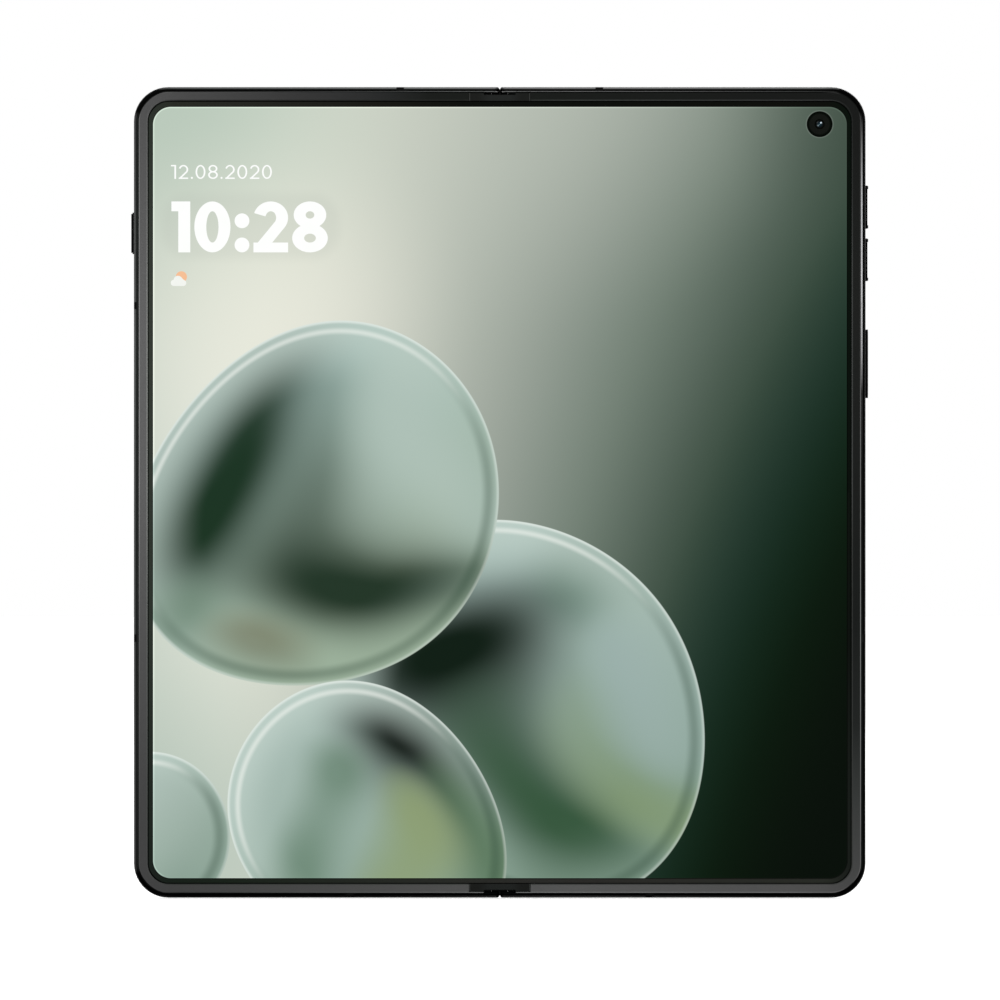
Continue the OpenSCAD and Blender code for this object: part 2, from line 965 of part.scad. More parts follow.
// Section of the space inside the hinge cover, from the axes towards the back.
module stadium(r) {
    for (s = [-1, 1])
        translate([s * axis_x, -axis_t])
            circle(r = r);
    translate([-axis_x, -axis_t - r])
        square([2 * axis_x, 2 * r]);
}

// The outer spine that shows when the phone is shut.
module spine_cover() {
    color([0.16, 0.165, 0.17])
        upright()
            difference() {
                along(spine_y0, spine_y1)
                    difference() {
                        stadium(cover_r);
                        stadium(cover_in);
                        translate([-10, -axis_t])
                            square([20, 10]);
                    }
                for (m = modules_y)
                    slab(-8, 8, m + arm_mid - arm_l / 2 - arm_room,
                        m + arm_mid + arm_l / 2 + arm_room, 0, tongue_t1 + 0.12);
                slab(-8, 8, mid_y + gear_y1 - arm_room, mid_y + gear_arm_y1 + arm_room,
                    0, tongue_t1 + 0.12);
            }
}

module pin_bores(y0, y1) {
    for (s = [-1, 1])
        rod(s * axis_x, axis_t, y0, y1, pin_r + 0.01);
}

// Blocks that carry the hinge pins inside the cover.
module spine_bearings() {
    color([0.5, 0.5, 0.52])
        upright()
            difference() {
                for (m = modules_y, s = block_steps)
                    along(m + s - block_l / 2, m + s + block_l / 2)
                        intersection() {
                            stadium(cover_in - 0.01);
                            translate([-10, -10])
                                square([20, 10 - block_front]);
                        }
                pin_bores(0, body_h);
                for (s = [-1, 1])
                    rod(s * idler_x, idler_t, mid_y, mid_y + 10.5, idler_pin_r + 0.01);
                for (m = modules_y)
                    slab(-0.9, 0.9, m - 14, m + 14, 3.05, leaf_t);
            }
}

// Caps at both ends of the spine, each with a tongue that closes the gap between the halves.
module spine_end_caps() {
    cap_half = 3.3;
    cap_l = 1.2;
    cap_front = 0.3;
    tongue_half = 0.12;
    tongue_y = 0.42;
    tongue_back = 0.75;
    color([0.04, 0.04, 0.045])
        upright() {
            for (top = [0, 1])
                translate([0, top * body_h, 0])
                    mirror([0, top, 0])
                        slab(-tongue_half, tongue_half, tongue_y, spine_y0 + touch,
                            cap_front, tongue_back);
            for (y = [spine_y0, spine_y1 - cap_l])
                along(y, y + cap_l)
                    intersection() {
                        stadium(cover_in - 0.01);
                        translate([-cap_half, -10])
                            square([2 * cap_half, 10 - cap_front]);
                    }
        }
}

// Narrow plate that holds up the display over the spine.
module centre_plate() {
    y0 = 3.2;
    color([0.55, 0.55, 0.57])
        upright()
            difference() {
                slab(-centre_half, centre_half, y0, body_h - y0, wing_t0, 0.9);
                for (m = modules_y, s = [-1, 1])
                    translate([s * (narrow_half + 5), 0, 0])
                        slab(-5, 5, m + arm_mid - arm_l / 2 - arm_room,
                            m + arm_mid + arm_l / 2 + arm_room, 0, leaf_t);
                for (s = [-1, 1])
                    translate([s * (narrow_half + 5), 0, 0])
                        slab(-5, 5, mid_y + gear_y0 - arm_room, mid_y + gear_arm_y1 + arm_room,
                            0, leaf_t);
            }
}

module hinge_pins() {
    color([0.8, 0.8, 0.82])
        upright() {
            for (m = modules_y, s = [-1, 1])
                rod(s * axis_x, axis_t, m - pin_half, m + pin_half, pin_r);
            for (s = [-1, 1])
                rod(s * idler_x, idler_t, mid_y + 0.5, mid_y + 10.4, idler_pin_r);
        }
}

// Spring washers that press on the pins, so that the phone stays at any angle.
module friction_washers() {
    color([0.72, 0.66, 0.5])
        upright()
            for (m = [modules_y[0], modules_y[2]], s = [-1, 1], k = [0 : 6])
                difference() {
                    rod(s * axis_x, axis_t, m + 3.2 + k * 0.8, m + 3.7 + k * 0.8,
                        k % 2 == 0 ? 0.8 : 0.86);
                    rod(s * axis_x, axis_t, m, m + 12, pin_r + 0.01);
                }
}

// Involute teeth, as points around the gear's centre.
base_r = gear_r * cos(25);
tip_r = gear_r + 0.13;
root_r = 0.61;
tooth_half = 90 / gear_teeth - 1;
function inv(r) = tan(acos(base_r / r)) * 180 / PI - acos(base_r / r);
function flank(r) = tooth_half + inv(gear_r) - inv(r);
flank_rs = [for (k = [0 : 4]) base_r + 0.001 + (tip_r - base_r - 0.001) * k / 4];
function at(r, a) = [r * cos(a), r * sin(a)];

module gear_2d(phase) {
    polygon([for (k = [0 : gear_teeth - 1], j = [0 : 11])
        let (c = phase + k * 360 / gear_teeth)
        j == 0 ? at(root_r, c - flank(base_r + 0.001) - 1)
        : j < 6 ? at(flank_rs[j - 1], c - flank(flank_rs[j - 1]))
        : j < 11 ? at(flank_rs[10 - j], c + flank(flank_rs[10 - j]))
        : at(root_r, c + flank(base_r + 0.001) + 1)]);
}

// One hinge arm: a hub on the pin and a tongue that is screwed to the middle plate.
module arm(y0, y1) {
    rod(axis_x, axis_t, y0, y1, hub_r);
    slab(axis_x, tongue_x, y0, y1, tongue_t0, tongue_t1);
    slab(well_x + well_wall + 0.2, tongue_x, y0, y1, plate_back, tongue_t1);
}

module arm_set(phase) {
    difference() {
        union() {
            for (m = modules_y)
                arm(m + arm_mid - arm_l / 2, m + arm_mid + arm_l / 2);
            arm(mid_y + gear_y1 + 0.05, mid_y + gear_arm_y1);
            translate([axis_x, 0, -axis_t])
                along(mid_y + gear_y0, mid_y + gear_y1 + 0.1)
                    gear_2d(phase);
        }
        rod(axis_x, axis_t, 0, body_h, pin_r + run_gap);
    }
}

// The gear phases follow from the places of the four axes.
right_idler_phase = half_pitch;
left_idler_phase = 0;
right_arm_phase = half_pitch - (right_idler_phase - mesh_a) + mesh_a + 180;
left_arm_phase = half_pitch - (left_idler_phase - (180 - mesh_a)) + (180 - mesh_a) + 180;

module right_arms() {
    color([0.45, 0.45, 0.47])
        upright()
            arm_set(right_arm_phase);
}

module left_arms() {
    color([0.45, 0.45, 0.47])
        upright()
            flip()
                arm_set(180 - left_arm_phase);
}

module idler(x, phase) {
    difference() {
        translate([x, 0, -idler_t])
            along(mid_y + gear_y0 + 0.1, mid_y + gear_y1)
                gear_2d(phase);
        rod(x, idler_t, mid_y, mid_y + 10, idler_pin_r + run_gap);
    }
}

module right_idler() {
    color([0.7, 0.6, 0.35])
        upright()
            idler(idler_x, right_idler_phase);
}

module left_idler() {
    color([0.7, 0.6, 0.35])
        upright()
            idler(-idler_x, left_idler_phase);
}

// A plate under the display that gives way when the phone is shut.
module wing() {
    y0 = 3.2;
    y1 = body_h - y0;
    difference() {
        union() {
            slab(wing_x0, wing_px, y0, y1, wing_t0, wing_pt);
            rod(wing_px, wing_pt, y0, y1, curl_r);
        }
        rod(wing_px, wing_pt, 0, body_h, wing_pin_r + run_gap);
        for (m = modules_y)
            slab(wing_x0 - over, 5.9, m + arm_mid - arm_l / 2 - arm_room,
                m + arm_mid + arm_l / 2 + arm_room, 0, leaf_t);
        slab(wing_x0 - over, 5.9, mid_y + gear_y0 - arm_room, mid_y + gear_arm_y1 + arm_room,
            0, leaf_t);
    }
}

module right_wing() {
    color([0.6, 0.6, 0.62])
        upright()
            wing();
}

module left_wing() {
    color([0.6, 0.6, 0.62])
        upright()
            flip()
                wing();
}

module wing_pin() {
    rod(wing_px, wing_pt, 1.3, body_h - 1.3, wing_pin_r);
}

module right_wing_pin() {
    color([0.8, 0.8, 0.82])
        upright()
            wing_pin();
}

module left_wing_pin() {
    color([0.8, 0.8, 0.82])
        upright()
            flip()
                wing_pin();
}

// Printed cables that cross the hinge between its blocks.
module hinge_flex() {
    color([0.7, 0.42, 0.12])
        upright()
            for (y = [44, 106])
                slab(-6.4, 6.4, y, y + 12, 1.2, 1.32);
}

right_frame();
left_frame();
right_breaks();
left_breaks();
right_rim();
left_rim();
right_display();
left_display();
fold_display();
fold_shields();
inner_camera_window();
inner_camera_lens();
inner_camera_body();
back_panel();
camera_island();
camera_rings();
camera_glasses();
camera_lenses();
camera_modules();
flash_lens();
volume_up_key();
volume_down_key();
power_key();
side_key();
right_switches();
left_switch();
right_battery();
left_battery();
main_board();
sub_board();
usb_port();
bottom_speaker();
top_speaker();
vibration_motor();
sim_tray();
sim_socket();
right_magnets();
left_magnets();
right_screws();
left_screws();
cover_glass();
cover_panel();
cover_camera();
spine_cover();
spine_bearings();
spine_end_caps();
centre_plate();
hinge_pins();
friction_washers();
right_arms();
left_arms();
right_idler();
left_idler();
right_wing();
left_wing();
right_wing_pin();
left_wing_pin();
hinge_flex();
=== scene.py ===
"""Finishes, lit display, pieces over the fold and studio of an open foldable phone."""
import math

import bmesh
import bpy
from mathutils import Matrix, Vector


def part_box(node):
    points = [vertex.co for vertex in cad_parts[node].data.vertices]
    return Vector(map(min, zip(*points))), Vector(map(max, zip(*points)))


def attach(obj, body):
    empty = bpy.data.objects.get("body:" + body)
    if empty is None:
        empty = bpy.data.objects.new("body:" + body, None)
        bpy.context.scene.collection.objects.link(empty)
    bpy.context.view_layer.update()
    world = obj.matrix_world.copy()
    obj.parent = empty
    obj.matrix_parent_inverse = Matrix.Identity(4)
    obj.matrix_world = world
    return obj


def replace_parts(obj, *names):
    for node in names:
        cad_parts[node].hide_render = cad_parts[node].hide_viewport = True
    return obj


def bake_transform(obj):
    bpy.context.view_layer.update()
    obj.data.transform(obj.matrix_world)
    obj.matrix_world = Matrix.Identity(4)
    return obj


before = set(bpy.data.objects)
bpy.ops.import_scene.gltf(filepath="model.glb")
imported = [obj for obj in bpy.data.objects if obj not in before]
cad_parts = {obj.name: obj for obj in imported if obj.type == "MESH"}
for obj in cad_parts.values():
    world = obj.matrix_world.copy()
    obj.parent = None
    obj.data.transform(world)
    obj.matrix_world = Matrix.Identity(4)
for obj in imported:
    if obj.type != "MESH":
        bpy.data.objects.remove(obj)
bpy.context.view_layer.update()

MM = 0.001

# Driving sizes in millimetres, in the frame of the part
HALF_W = 72.23  # half the width over the metal, without the keys
HALF_H = 80.025
CORNER_R = 6.8
LIT_MIDDLE = (0.04, 79.995)
LIT_HALF_W = 68.46
LIT_HALF_H = 76.105
LIT_R = 3.5
RIM_INNER = 2.75  # from the outline to the inner edge of the rim
OUTLINE_BACK = 0.07  # the outline's widest part lies further back and looks this much smaller
BEND_HALF = 7.0  # half width of the display's middle. The cables bend within it too
SHIELD_HALF = 6.0  # half width of the shields
SLOT_HALF = 3.1  # the slot in the middle of each shield
SLOT_END = 1.6  # where it ends, above the bottom edge
CABLE_H = 12  # height of each hinge cable
LENS_STEP = 8.6  # from the middle of the island to each of its four rings
EYE = (63.15, 152.7)  # x and z of the camera in the inner display
COVER_EYE = (-36.9, 152.6)  # and of the one in the outer display
COVER_LIT = (33.6, 77.1, 4.6, (-36.9, HALF_H))  # half width, half height, radius and middle

# Soft edges of the bands of painted light and shade around the outline, in millimetres
# inwards. Each fades from the second number to the first.
STRIP_END = (0.36, 0.28)
STRIP_END_SIDED = (0.5, 0.28)
LINE_END = (0.93, 0.89)
RIM_EDGE_END = (1.14, 1.08)
METAL_END = (1.62, 1.58)
BORDER_SHADE_END = (2.92, 2.84)
BORDER_HIGHLIGHT_END = (2.72, 2.68)

# Soft steps across the part
SIDE_AT = (69, 71)  # x where a straight side is reached
UPPER_AT = (80, 81)  # z where the upper half starts
FRONT_AT = (-1.6, -2.9)  # y where the round edge of the frame turns to the front
BESIDE_AT = (63, 70)  # x where the colours of the sides take over from those of the ends
CORNER_SPREAD = 4.2  # how far into a corner in_corner rises
CORNER_AT = (0.05, 0.5)  # the share of in_corner over which an effect fades out

# The picture: the field's colours across it, soft light on it as (x, z, size, colour, share), and
# pebbles from back to front as (x, z, radius, upper colour, lower colour, smoke)
FIELD = (
    (-105, "c9d3c6"), (-72, "c9d2c7"), (-51, "e8ebde"), (-37, "dfe1d4"), (-24, "ccd0c4"),
    (-10, "b6bdb2"), (4, "a1a99f"), (18, "89948a"), (32, "728074"), (45, "57665b"),
    (57, "3e5043"), (66, "2b3f34"), (75, "1c3126"), (84, "122619"), (95, "0a190c"),
    (110, "081109"), (125, "070e08"))
FIELD_LIGHT = (
    (-62, 158, 62, "b3c5b6", 0.8), (-46, 116, 44, "eeede0", 0.5), (6, 166, 60, "bcc3b8", 0.5),
    (78, 162, 40, "38463c", 0.6), (-70, 8, 66, "aebfb3", 0.85))
PEBBLES = (
    (8, 38, 37, "a5bab4", "839c8c", (
        (14, 70, 24, "4f6f5e", 0.7), (-6, 40, 40, "06180b", 0.99), (12, 16, 26, "2a4f31", 0.9),
        (36, 26, 24, "7e9468", 0.85), (38, 54, 18, "9db2ae", 0.8))),
    (-34, 74, 36, "a2bbb5", "9fb29b", (
        (-54, 82, 32, "0f2d18", 0.98), (-24, 66, 27, "152c1c", 0.97),
        (-58, 58, 18, "3f6245", 0.8), (-42, 46, 15, "75765c", 0.8), (-12, 88, 18, "b1c3ba", 0.8))),
    (-24, 12, 27, "a7bbb3", "8aa594", (
        (-14, 18, 30, "040d06", 0.99), (-2, 2, 16, "45683f", 0.9), (-18, -4, 14, "8e9f6e", 0.8),
        (-38, 6, 14, "5c7b65", 0.7))),
    (-68, 12, 17, "b4c5bd", "90a699", ((-66, 6, 14, "7f978a", 0.6),)))
SMOKE_SCALE = 0.022  # of the noise that curls the smoke
SMOKE_DRIFT = 56.0  # span over which it moves the smoke
CLOCK_SHADE = (17.5, 6.4, 5.5, (-49.2, 132.6))  # half width, half height, radius and middle

# Studio: lamps as (name, place, size, power) in metres and watts
AIM = (0, 0, 0.08)
LAMPS = (
    ("key", (-0.9, -1.5, 1.1), (0.8, 0.8), 14),
    ("fill", (0.9, -1.3, 0.85), (0.34, 0.34), 5),
    ("low", (-0.5, -1.2, 0.15), (0.3, 0.2), 2),
    ("rear", (0.6, 1.5, 1.0), (0.9, 0.9), 14))
WORLD_LIGHT = 0.55  # strength of the surround as a lamp. It is 1 where it is seen
FLOOR_GLOW = 0.62  # added where the floor is looked at
FLOOR_HALF = 6.0  # in metres
FLOOR_GAP = 0.2  # below the part, in millimetres

# Widths of the plain figures used on the clock, which are 1 high
FIGURE_W = {"0": 0.71, "1": 0.37, "2": 0.68, "8": 0.70}
LEVEL_PEN = 0.82  # how thick a stroke is where it runs level, as a share of the pen
DOT_R = 0.62  # radius of a stop's dot, as a share of the pen
COLON_TOP = 0.62  # height of the colon's upper dot
INK_LEVEL = 0.012  # how far lit figures stand out of the display
SUN_LEVEL = 0.008
CLOUD_LEVEL = 0.014

# Lit figures as (name, text, x, z, height, pen, gap), with pen and gap as shares of the height
FIGURES = (
    ("clock_figures", "10:28", -64.8, 127.4, 10.05, 0.235, 0.08),
    ("date_figures", "12.08.2020", -64.9, 141.9, 2.75, 0.12, 0.19))
# The sun as (x, z, radius), and the arcs around the cloud as (x, z, radius, start, end, count)
SUN = (-62.83, 122.57, 1.1)
CLOUD = (
    (-62.47, 121.36, 0.6, -90, 75, 14), (-63.5, 121.9, 0.88, 30, 160, 20),
    (-64.31, 121.38, 0.62, 95, 270, 16))

SOCKETS = {
    "base": "Base Color", "rough": "Roughness", "metal": "Metallic", "shine": "Specular IOR Level",
    "coat": "Coat Weight", "coat_rough": "Coat Roughness", "clear": "Transmission Weight",
    "ior": "IOR", "glow": "Emission Color", "strength": "Emission Strength",
}


def colour(text, alpha=1.0):
    """Linear RGBA of a colour written as six hex digits."""
    out = []
    for k in (0, 2, 4):
        c = int(text[k:k + 2], 16) / 255
        out.append(c / 12.92 if c <= 0.04045 else ((c + 0.055) / 1.055) ** 2.4)
    return (*out, alpha)


def centre_of(node):
    """Middle of a CAD node in millimetres."""
    low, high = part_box(node)
    return (low + high) / (2 * MM)


class Shader:
    """Node tree of one material, with a short call for each kind of node.

    mm is the place on the part in millimetres, x, y and z are its parts, and flat is that place
    seen from the front.
    """

    def __init__(self, name, rest_attribute=None):
        self.material = bpy.data.materials.new(name)
        self.material.use_nodes = True
        self.tree = self.material.node_tree
        self.bsdf = self.tree.nodes["Principled BSDF"]
        if rest_attribute:
            place = self.node("Attribute", attribute_name=rest_attribute).outputs["Vector"]
        else:
            place = self.node("TexCoord").outputs["Object"]
        self.mm = self.vector("SCALE", place, scale=1 / MM)
        self.flat = self.vector("MULTIPLY", self.mm, (1, 0, 1))
        parts = self.node("SeparateXYZ")
        self.put(parts.inputs[0], self.mm)
        self.x, self.y, self.z = parts.outputs

    def node(self, kind, **settings):
        made = self.tree.nodes.new("ShaderNode" + kind)
        for key, value in settings.items():
            setattr(made, key, value)
        return made

    def put(self, socket, value):
        if isinstance(value, bpy.types.NodeSocket):
            self.tree.links.new(value, socket)
        else:
            socket.default_value = value

    def math(self, operation, *values, clamp=False):
        made = self.node("Math", operation=operation, use_clamp=clamp)
        for socket, value in zip(made.inputs, values):
            self.put(socket, value)
        return made.outputs[0]

    def vector(self, operation, *values, scale=None):
        made = self.node("VectorMath", operation=operation)
        for socket, value in zip(made.inputs, values):
            self.put(socket, value)
        if scale is not None:
            self.put(made.inputs["Scale"], scale)
        return made.outputs["Value" if operation in ("LENGTH", "DISTANCE") else "Vector"]

    def step(self, value, low, high):
        """0 below low, 1 above high, smooth between them. low may be the larger one."""
        made = self.node("MapRange", interpolation_type="SMOOTHSTEP")
        turned = low > high
        for socket, number in zip(made.inputs, (value, min(low, high), max(low, high),
                                                float(turned), float(not turned))):
            self.put(socket, number)
        return made.outputs[0]

    def band(self, value, low, high, soft):
        """1 between low and high and 0 outside, with a fade twice soft wide at each of them."""
        inside = self.step(value, low - soft, low + soft)
        return self.math("MULTIPLY", inside, self.step(value, high + soft, high - soft))

    def mix(self, share, first, second, blend="MIX"):
        made = self.node("Mix", data_type="RGBA", blend_type=blend)
        self.put(made.inputs[0], share)
        self.put(made.inputs[6], first)
        self.put(made.inputs[7], second)
        return made.outputs[2]

    def ramp(self, value, low, high, *stops, kind="LINEAR"):
        """Colour along value from low to high. A stop is (value, hex colour)."""
        share = self.node("MapRange")
        for socket, number in zip(share.inputs, (value, low, high, 0.0, 1.0)):
            self.put(socket, number)
        made = self.node("ValToRGB")
        made.color_ramp.interpolation = kind
        elements = made.color_ramp.elements
        while len(elements) < len(stops):
            elements.new(0.5)
        for element, (at, text) in zip(elements, stops):
            element.position = (at - low) / (high - low)
            element.color = colour(text)
        self.put(made.inputs[0], share.outputs[0])
        return made.outputs[0]

    def noise(self, size, detail=2.0, stretch=(1, 1, 1)):
        """Noise whose grains are about size millimetres across, longer along stretch."""
        made = self.node("TexNoise")
        self.put(made.inputs["Vector"], self.vector("DIVIDE", self.mm, stretch))
        self.put(made.inputs["Scale"], 1 / size)
        self.put(made.inputs["Detail"], detail)
        return made.outputs["Fac"]

    def rounded(self, half_x, half_z, radius, centre=(0.0, HALF_H)):
        """Distance in millimetres to a rectangle with round corners, negative inside it."""
        moved = self.vector("SUBTRACT", self.flat, (centre[0], 0, centre[1]))
        away = self.vector("SUBTRACT", self.vector("ABSOLUTE", moved),
                           (half_x - radius, 0, half_z - radius))
        outside = self.vector("LENGTH", self.vector("MAXIMUM", away, (0, 0, 0)))
        parts = self.node("SeparateXYZ")
        self.put(parts.inputs[0], away)
        inside = self.math("MINIMUM", self.math("MAXIMUM", parts.outputs[0], parts.outputs[2]), 0)
        return self.math("SUBTRACT", self.math("ADD", outside, inside), radius)

    def from_point(self, x, z, place=None):
        """Distance in millimetres to a point, seen from the front."""
        return self.vector("DISTANCE", place or self.flat, (x, 0, z))

    def relief(self, height, depth):
        """Bump that follows a height. A height of 1 stands this many millimetres out."""
        made = self.node("Bump")
        made.inputs["Distance"].default_value = depth * MM
        self.put(made.inputs["Height"], height)
        self.put(self.bsdf.inputs["Normal"], made.outputs[0])

    def set(self, **values):
        """Sets the shader's sockets by the short names in SOCKETS."""
        for key, value in values.items():
            self.put(self.bsdf.inputs[SOCKETS[key]], value)
        return self


def dress(material, *names):
    """Gives CAD nodes a material."""
    for name in names:
        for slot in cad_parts[name].material_slots:
            slot.material = material


def grained(name, text, rough, size=0.08, contrast=0.25, depth=0.004, stretch=(1, 1, 1),
            **settings):
    """A surface with a fine grain and a broad one. Its relief follows the fine one alone."""
    s = Shader(name)
    fine = s.noise(size, stretch=stretch)
    broad = s.noise(14.0, 1.0)
    grain = s.math("ADD", s.math("MULTIPLY", fine, 0.7), s.math("MULTIPLY", broad, 0.3))
    base = colour(text)
    darker = tuple(c * (1 - contrast) for c in base[:3]) + (1.0,)
    lighter = tuple(min(1.0, c * (1 + contrast)) for c in base[:3]) + (1.0,)
    s.set(base=s.mix(grain, darker, lighter), **settings)
    rough_spread = s.node("MapRange")
    for socket, number in zip(rough_spread.inputs, (grain, 0.0, 1.0, rough * 0.85, rough * 1.15)):
        s.put(socket, number)
    s.set(rough=rough_spread.outputs[0])
    s.relief(fine, depth)
    return s.material


def by_side(s, left, right, bottom, top):
    """Colour around the phone's edge: one ramp for each side, which meet at the corners."""
    sides = s.mix(s.step(s.x, -1, 1), left, right)
    ends = s.mix(s.step(s.z, HALF_H - 1, HALF_H + 1), bottom, top)
    beside = s.step(s.math("ABSOLUTE", s.x), *BESIDE_AT)
    return s.mix(beside, ends, sides)


def along_x(s, *stops):
    return s.ramp(s.x, -HALF_W, HALF_W, *stops)


def along_z(s, *stops):
    return s.ramp(s.z, 0, 2 * HALF_H, *stops)


def edge_depth(s):
    """Distance inwards from the outline as it is seen."""
    return s.math("SUBTRACT", -OUTLINE_BACK, s.rounded(HALF_W, HALF_H, CORNER_R))


def in_corner(s):
    """1 on the diagonal of each corner, falling to 0 at the straight sides."""
    from_middle = s.math("ABSOLUTE", s.math("SUBTRACT", s.z, HALF_H))
    beyond_x = s.math("SUBTRACT", s.math("ABSOLUTE", s.x), HALF_W - CORNER_R)
    beyond_z = s.math("SUBTRACT", from_middle, HALF_H - CORNER_R)
    return s.step(s.math("MINIMUM", beyond_x, beyond_z), 0, CORNER_SPREAD)


def frame_front(s, depth, sided, strip_share):
    """The painted soft light and shade along the round front edge of the frame."""
    # Painted light and shade: a strip along the outline, lighter on the left and top, near black on
    # the right
    strip = by_side(
        s, along_z(s, (0, "383838"), (60, "3a3c3b"), (110, "4e504f"), (160, "3a3a3a")),
        along_z(s, (0, "050505"), (160, "060606")),
        along_x(s, (-72, "0c0c0c"), (-20, "262626"), (15, "4a4a4a"), (50, "262626"),
                (72, "101010")),
        along_x(s, (-72, "4a4c4b"), (-20, "666867"), (10, "707070"), (72, "646665")))
    # Painted shade on the front between that strip and the line further in
    dark = colour("030303")
    edge = s.mix(sided, s.step(depth, *STRIP_END), s.step(depth, *STRIP_END_SIDED))
    away_from_corner = s.math("SUBTRACT", 1.0, s.step(in_corner(s), *CORNER_AT))
    shown = s.math("MULTIPLY", s.math("MULTIPLY", edge, away_from_corner), strip_share)
    painted = s.mix(shown, dark, strip)
    # Painted highlight: a bright line a little further in, brightest high on the right side
    line = by_side(
        s, along_z(s, (0, "141615"), (60, "1a1c1b"), (160, "141615")),
        along_z(s, (0, "141615"), (84, "141615"), (100, "2c2c2c"), (108, "98989a"), (122, "bcbcbe"),
                (138, "a8a9ab"), (148, "6e6e6e"), (154, "1a1a1a"), (160, "050505")),
        along_x(s, (-72, "050605"), (-10, "060708"), (20, "0a0c0d"), (72, "121212")),
        along_x(s, (-72, "141414"), (-53, "262726"), (-24, "454645"), (-8, "646665"),
                (16, "707070"), (40, "5a5a5a"), (58, "484a49"), (72, "161616")))
    # Painted highlight on that line beside the fold, at the top end
    across = s.math("ABSOLUTE", s.x)
    beside_fold = s.math("MULTIPLY", s.step(across, 1.0, 0.5), s.step(s.z, 100, 101))
    line = s.mix(s.math("MULTIPLY", beside_fold, 0.9), line, colour("c0c0c0"))
    beyond = s.math("ADD", depth, s.math("MULTIPLY", sided, 0.2))
    lit = s.math("MULTIPLY", s.step(beyond, 0.73, 0.79), s.step(depth, *LINE_END))
    return s.mix(s.math("MULTIPLY", lit, away_from_corner), painted, line)


def frame_metal(name, grain_texts, strip_share, **settings):
    """Dark frame with a fine grain, and painted soft light and shade on its round front edge."""
    s = Shader(name)
    depth = edge_depth(s)
    sided = s.step(s.math("ABSOLUTE", s.x), *SIDE_AT)
    grain = s.noise(0.07)
    tone = s.mix(grain, *(colour(text) for text in grain_texts))
    front = s.math("MULTIPLY", s.step(s.y, *FRONT_AT), s.step(depth, *METAL_END))
    s.set(base=s.mix(front, tone, frame_front(s, depth, sided, strip_share)), **settings)
    s.relief(grain, 0.001)
    return s.material


def rim_edge(s):
    """Painted light and shade along the thin outer edge of the rim, which catches the light."""
    return by_side(
        s, along_z(s, (0, "434343"), (19, "464646"), (51, "5c5c5c"), (82, "7e7e7e"),
                   (114, "7e7e7e"), (146, "6a6b6a"), (160, "585858")),
        along_z(s, (0, "666666"), (19, "707070"), (51, "7a7c7b"), (82, "727272"), (118, "545454"),
                (160, "404040")),
        along_x(s, (-72, "343434"), (-53, "3c3e3d"), (-8, "686969"), (16, "747575"),
                (55, "727374"), (72, "5a5a5a")),
        along_x(s, (-72, "4a4a4a"), (-53, "414141"), (-39, "303131"), (-24, "202222"),
                (-14, "070908"), (72, "070807")))


def rim_rubber():
    """Fine matte rim with painted light: lighter on its left and lower sides, with softly lit
    edges.
    """
    s = Shader("rim_matte")
    depth = edge_depth(s)
    # Painted light and shade: the rim's tone along each side
    tone = by_side(
        s, along_z(s, (0, "3f3f3f"), (19, "404040"), (51, "4b4b4b"), (82, "585858"),
                   (114, "5a5a5a"), (160, "484848")),
        along_z(s, (0, "464646"), (19, "333534"), (34, "1e201f"), (55, "161817"), (118, "1a1b1a"),
                (160, "141514")),
        along_x(s, (-72, "3e3e3e"), (-53, "414141"), (-8, "4d4d4d"), (15, "545454"),
                (55, "4f4f4f"), (72, "4a4a4a")),
        along_x(s, (-72, "4a4a4a"), (-53, "3c3c3c"), (-39, "313131"), (-24, "242525"),
                (-14, "161816"), (72, "141514")))
    # Painted highlight on the rim's inner edge
    inner = by_side(
        s, along_z(s, (0, "444444"), (19, "464846"), (51, "5a5c5a"), (82, "80827f"),
                   (114, "80827f"), (146, "60605f"), (160, "505050")),
        along_z(s, (0, "3a3c3a"), (51, "2a2c2b"), (70, "303230"), (82, "3c3e3d"), (125, "3a3c3b"),
                (140, "282a29"), (160, "181a18")),
        along_x(s, (-72, "303230"), (-8, "3e403e"), (15, "3f403f"), (72, "3e3f3e")),
        along_x(s, (-72, "303030"), (-53, "242524"), (-8, "222422"), (16, "343735"),
                (72, "303131")))
    right = s.step(s.x, *SIDE_AT)
    corner = in_corner(s)
    # Painted highlight on the rim's outer edge, faded out in the top right corner
    fade = s.math("ADD", depth, s.math("MULTIPLY", right, 0.09))
    top_corner = s.math("MULTIPLY", s.step(corner, *CORNER_AT), s.step(s.z, *UPPER_AT))
    straight = s.math("SUBTRACT", 1.0, top_corner)
    tone = s.mix(s.math("MULTIPLY", s.step(fade, *RIM_EDGE_END), straight), tone, rim_edge(s))
    tone = s.mix(s.step(depth, RIM_INNER - 0.32, RIM_INNER - 0.26), tone, inner)
    across = s.math("ABSOLUTE", s.x)
    # Painted shade over the slot in the middle of the lower end
    low_slot_shade = s.math("MULTIPLY", s.step(across, SLOT_HALF + 0.2, SLOT_HALF), s.step(s.z, 10, 5))
    tone = s.mix(low_slot_shade, tone, colour("0c0d0c"))
    # Painted shade: a dark line where the rim meets the frame, further in at the corners
    start = s.math("ADD", s.math("MULTIPLY", corner, 0.18), 0.93)
    start = s.math("SUBTRACT", start, s.math("MULTIPLY", right, 0.12))
    groove = s.step(s.math("SUBTRACT", depth, start), 0.03, -0.03)
    tone = s.mix(groove, tone, colour("080908"))
    grain = s.noise(0.06, 3.0)
    shade = s.mix(grain, (0.85, 0.85, 0.85, 1), (1.15, 1.15, 1.15, 1))
    s.set(base=s.mix(1.0, tone, shade, "MULTIPLY"), rough=0.72, shine=0.03)
    s.relief(grain, 0.006)
    return s.material


def soft_light(s, under, x, z, size, text, share):
    """Lays a round soft patch of one colour over the picture."""
    near = s.step(s.from_point(x, z), size, 0)
    return s.mix(s.math("MULTIPLY", near, share), under, colour(text))


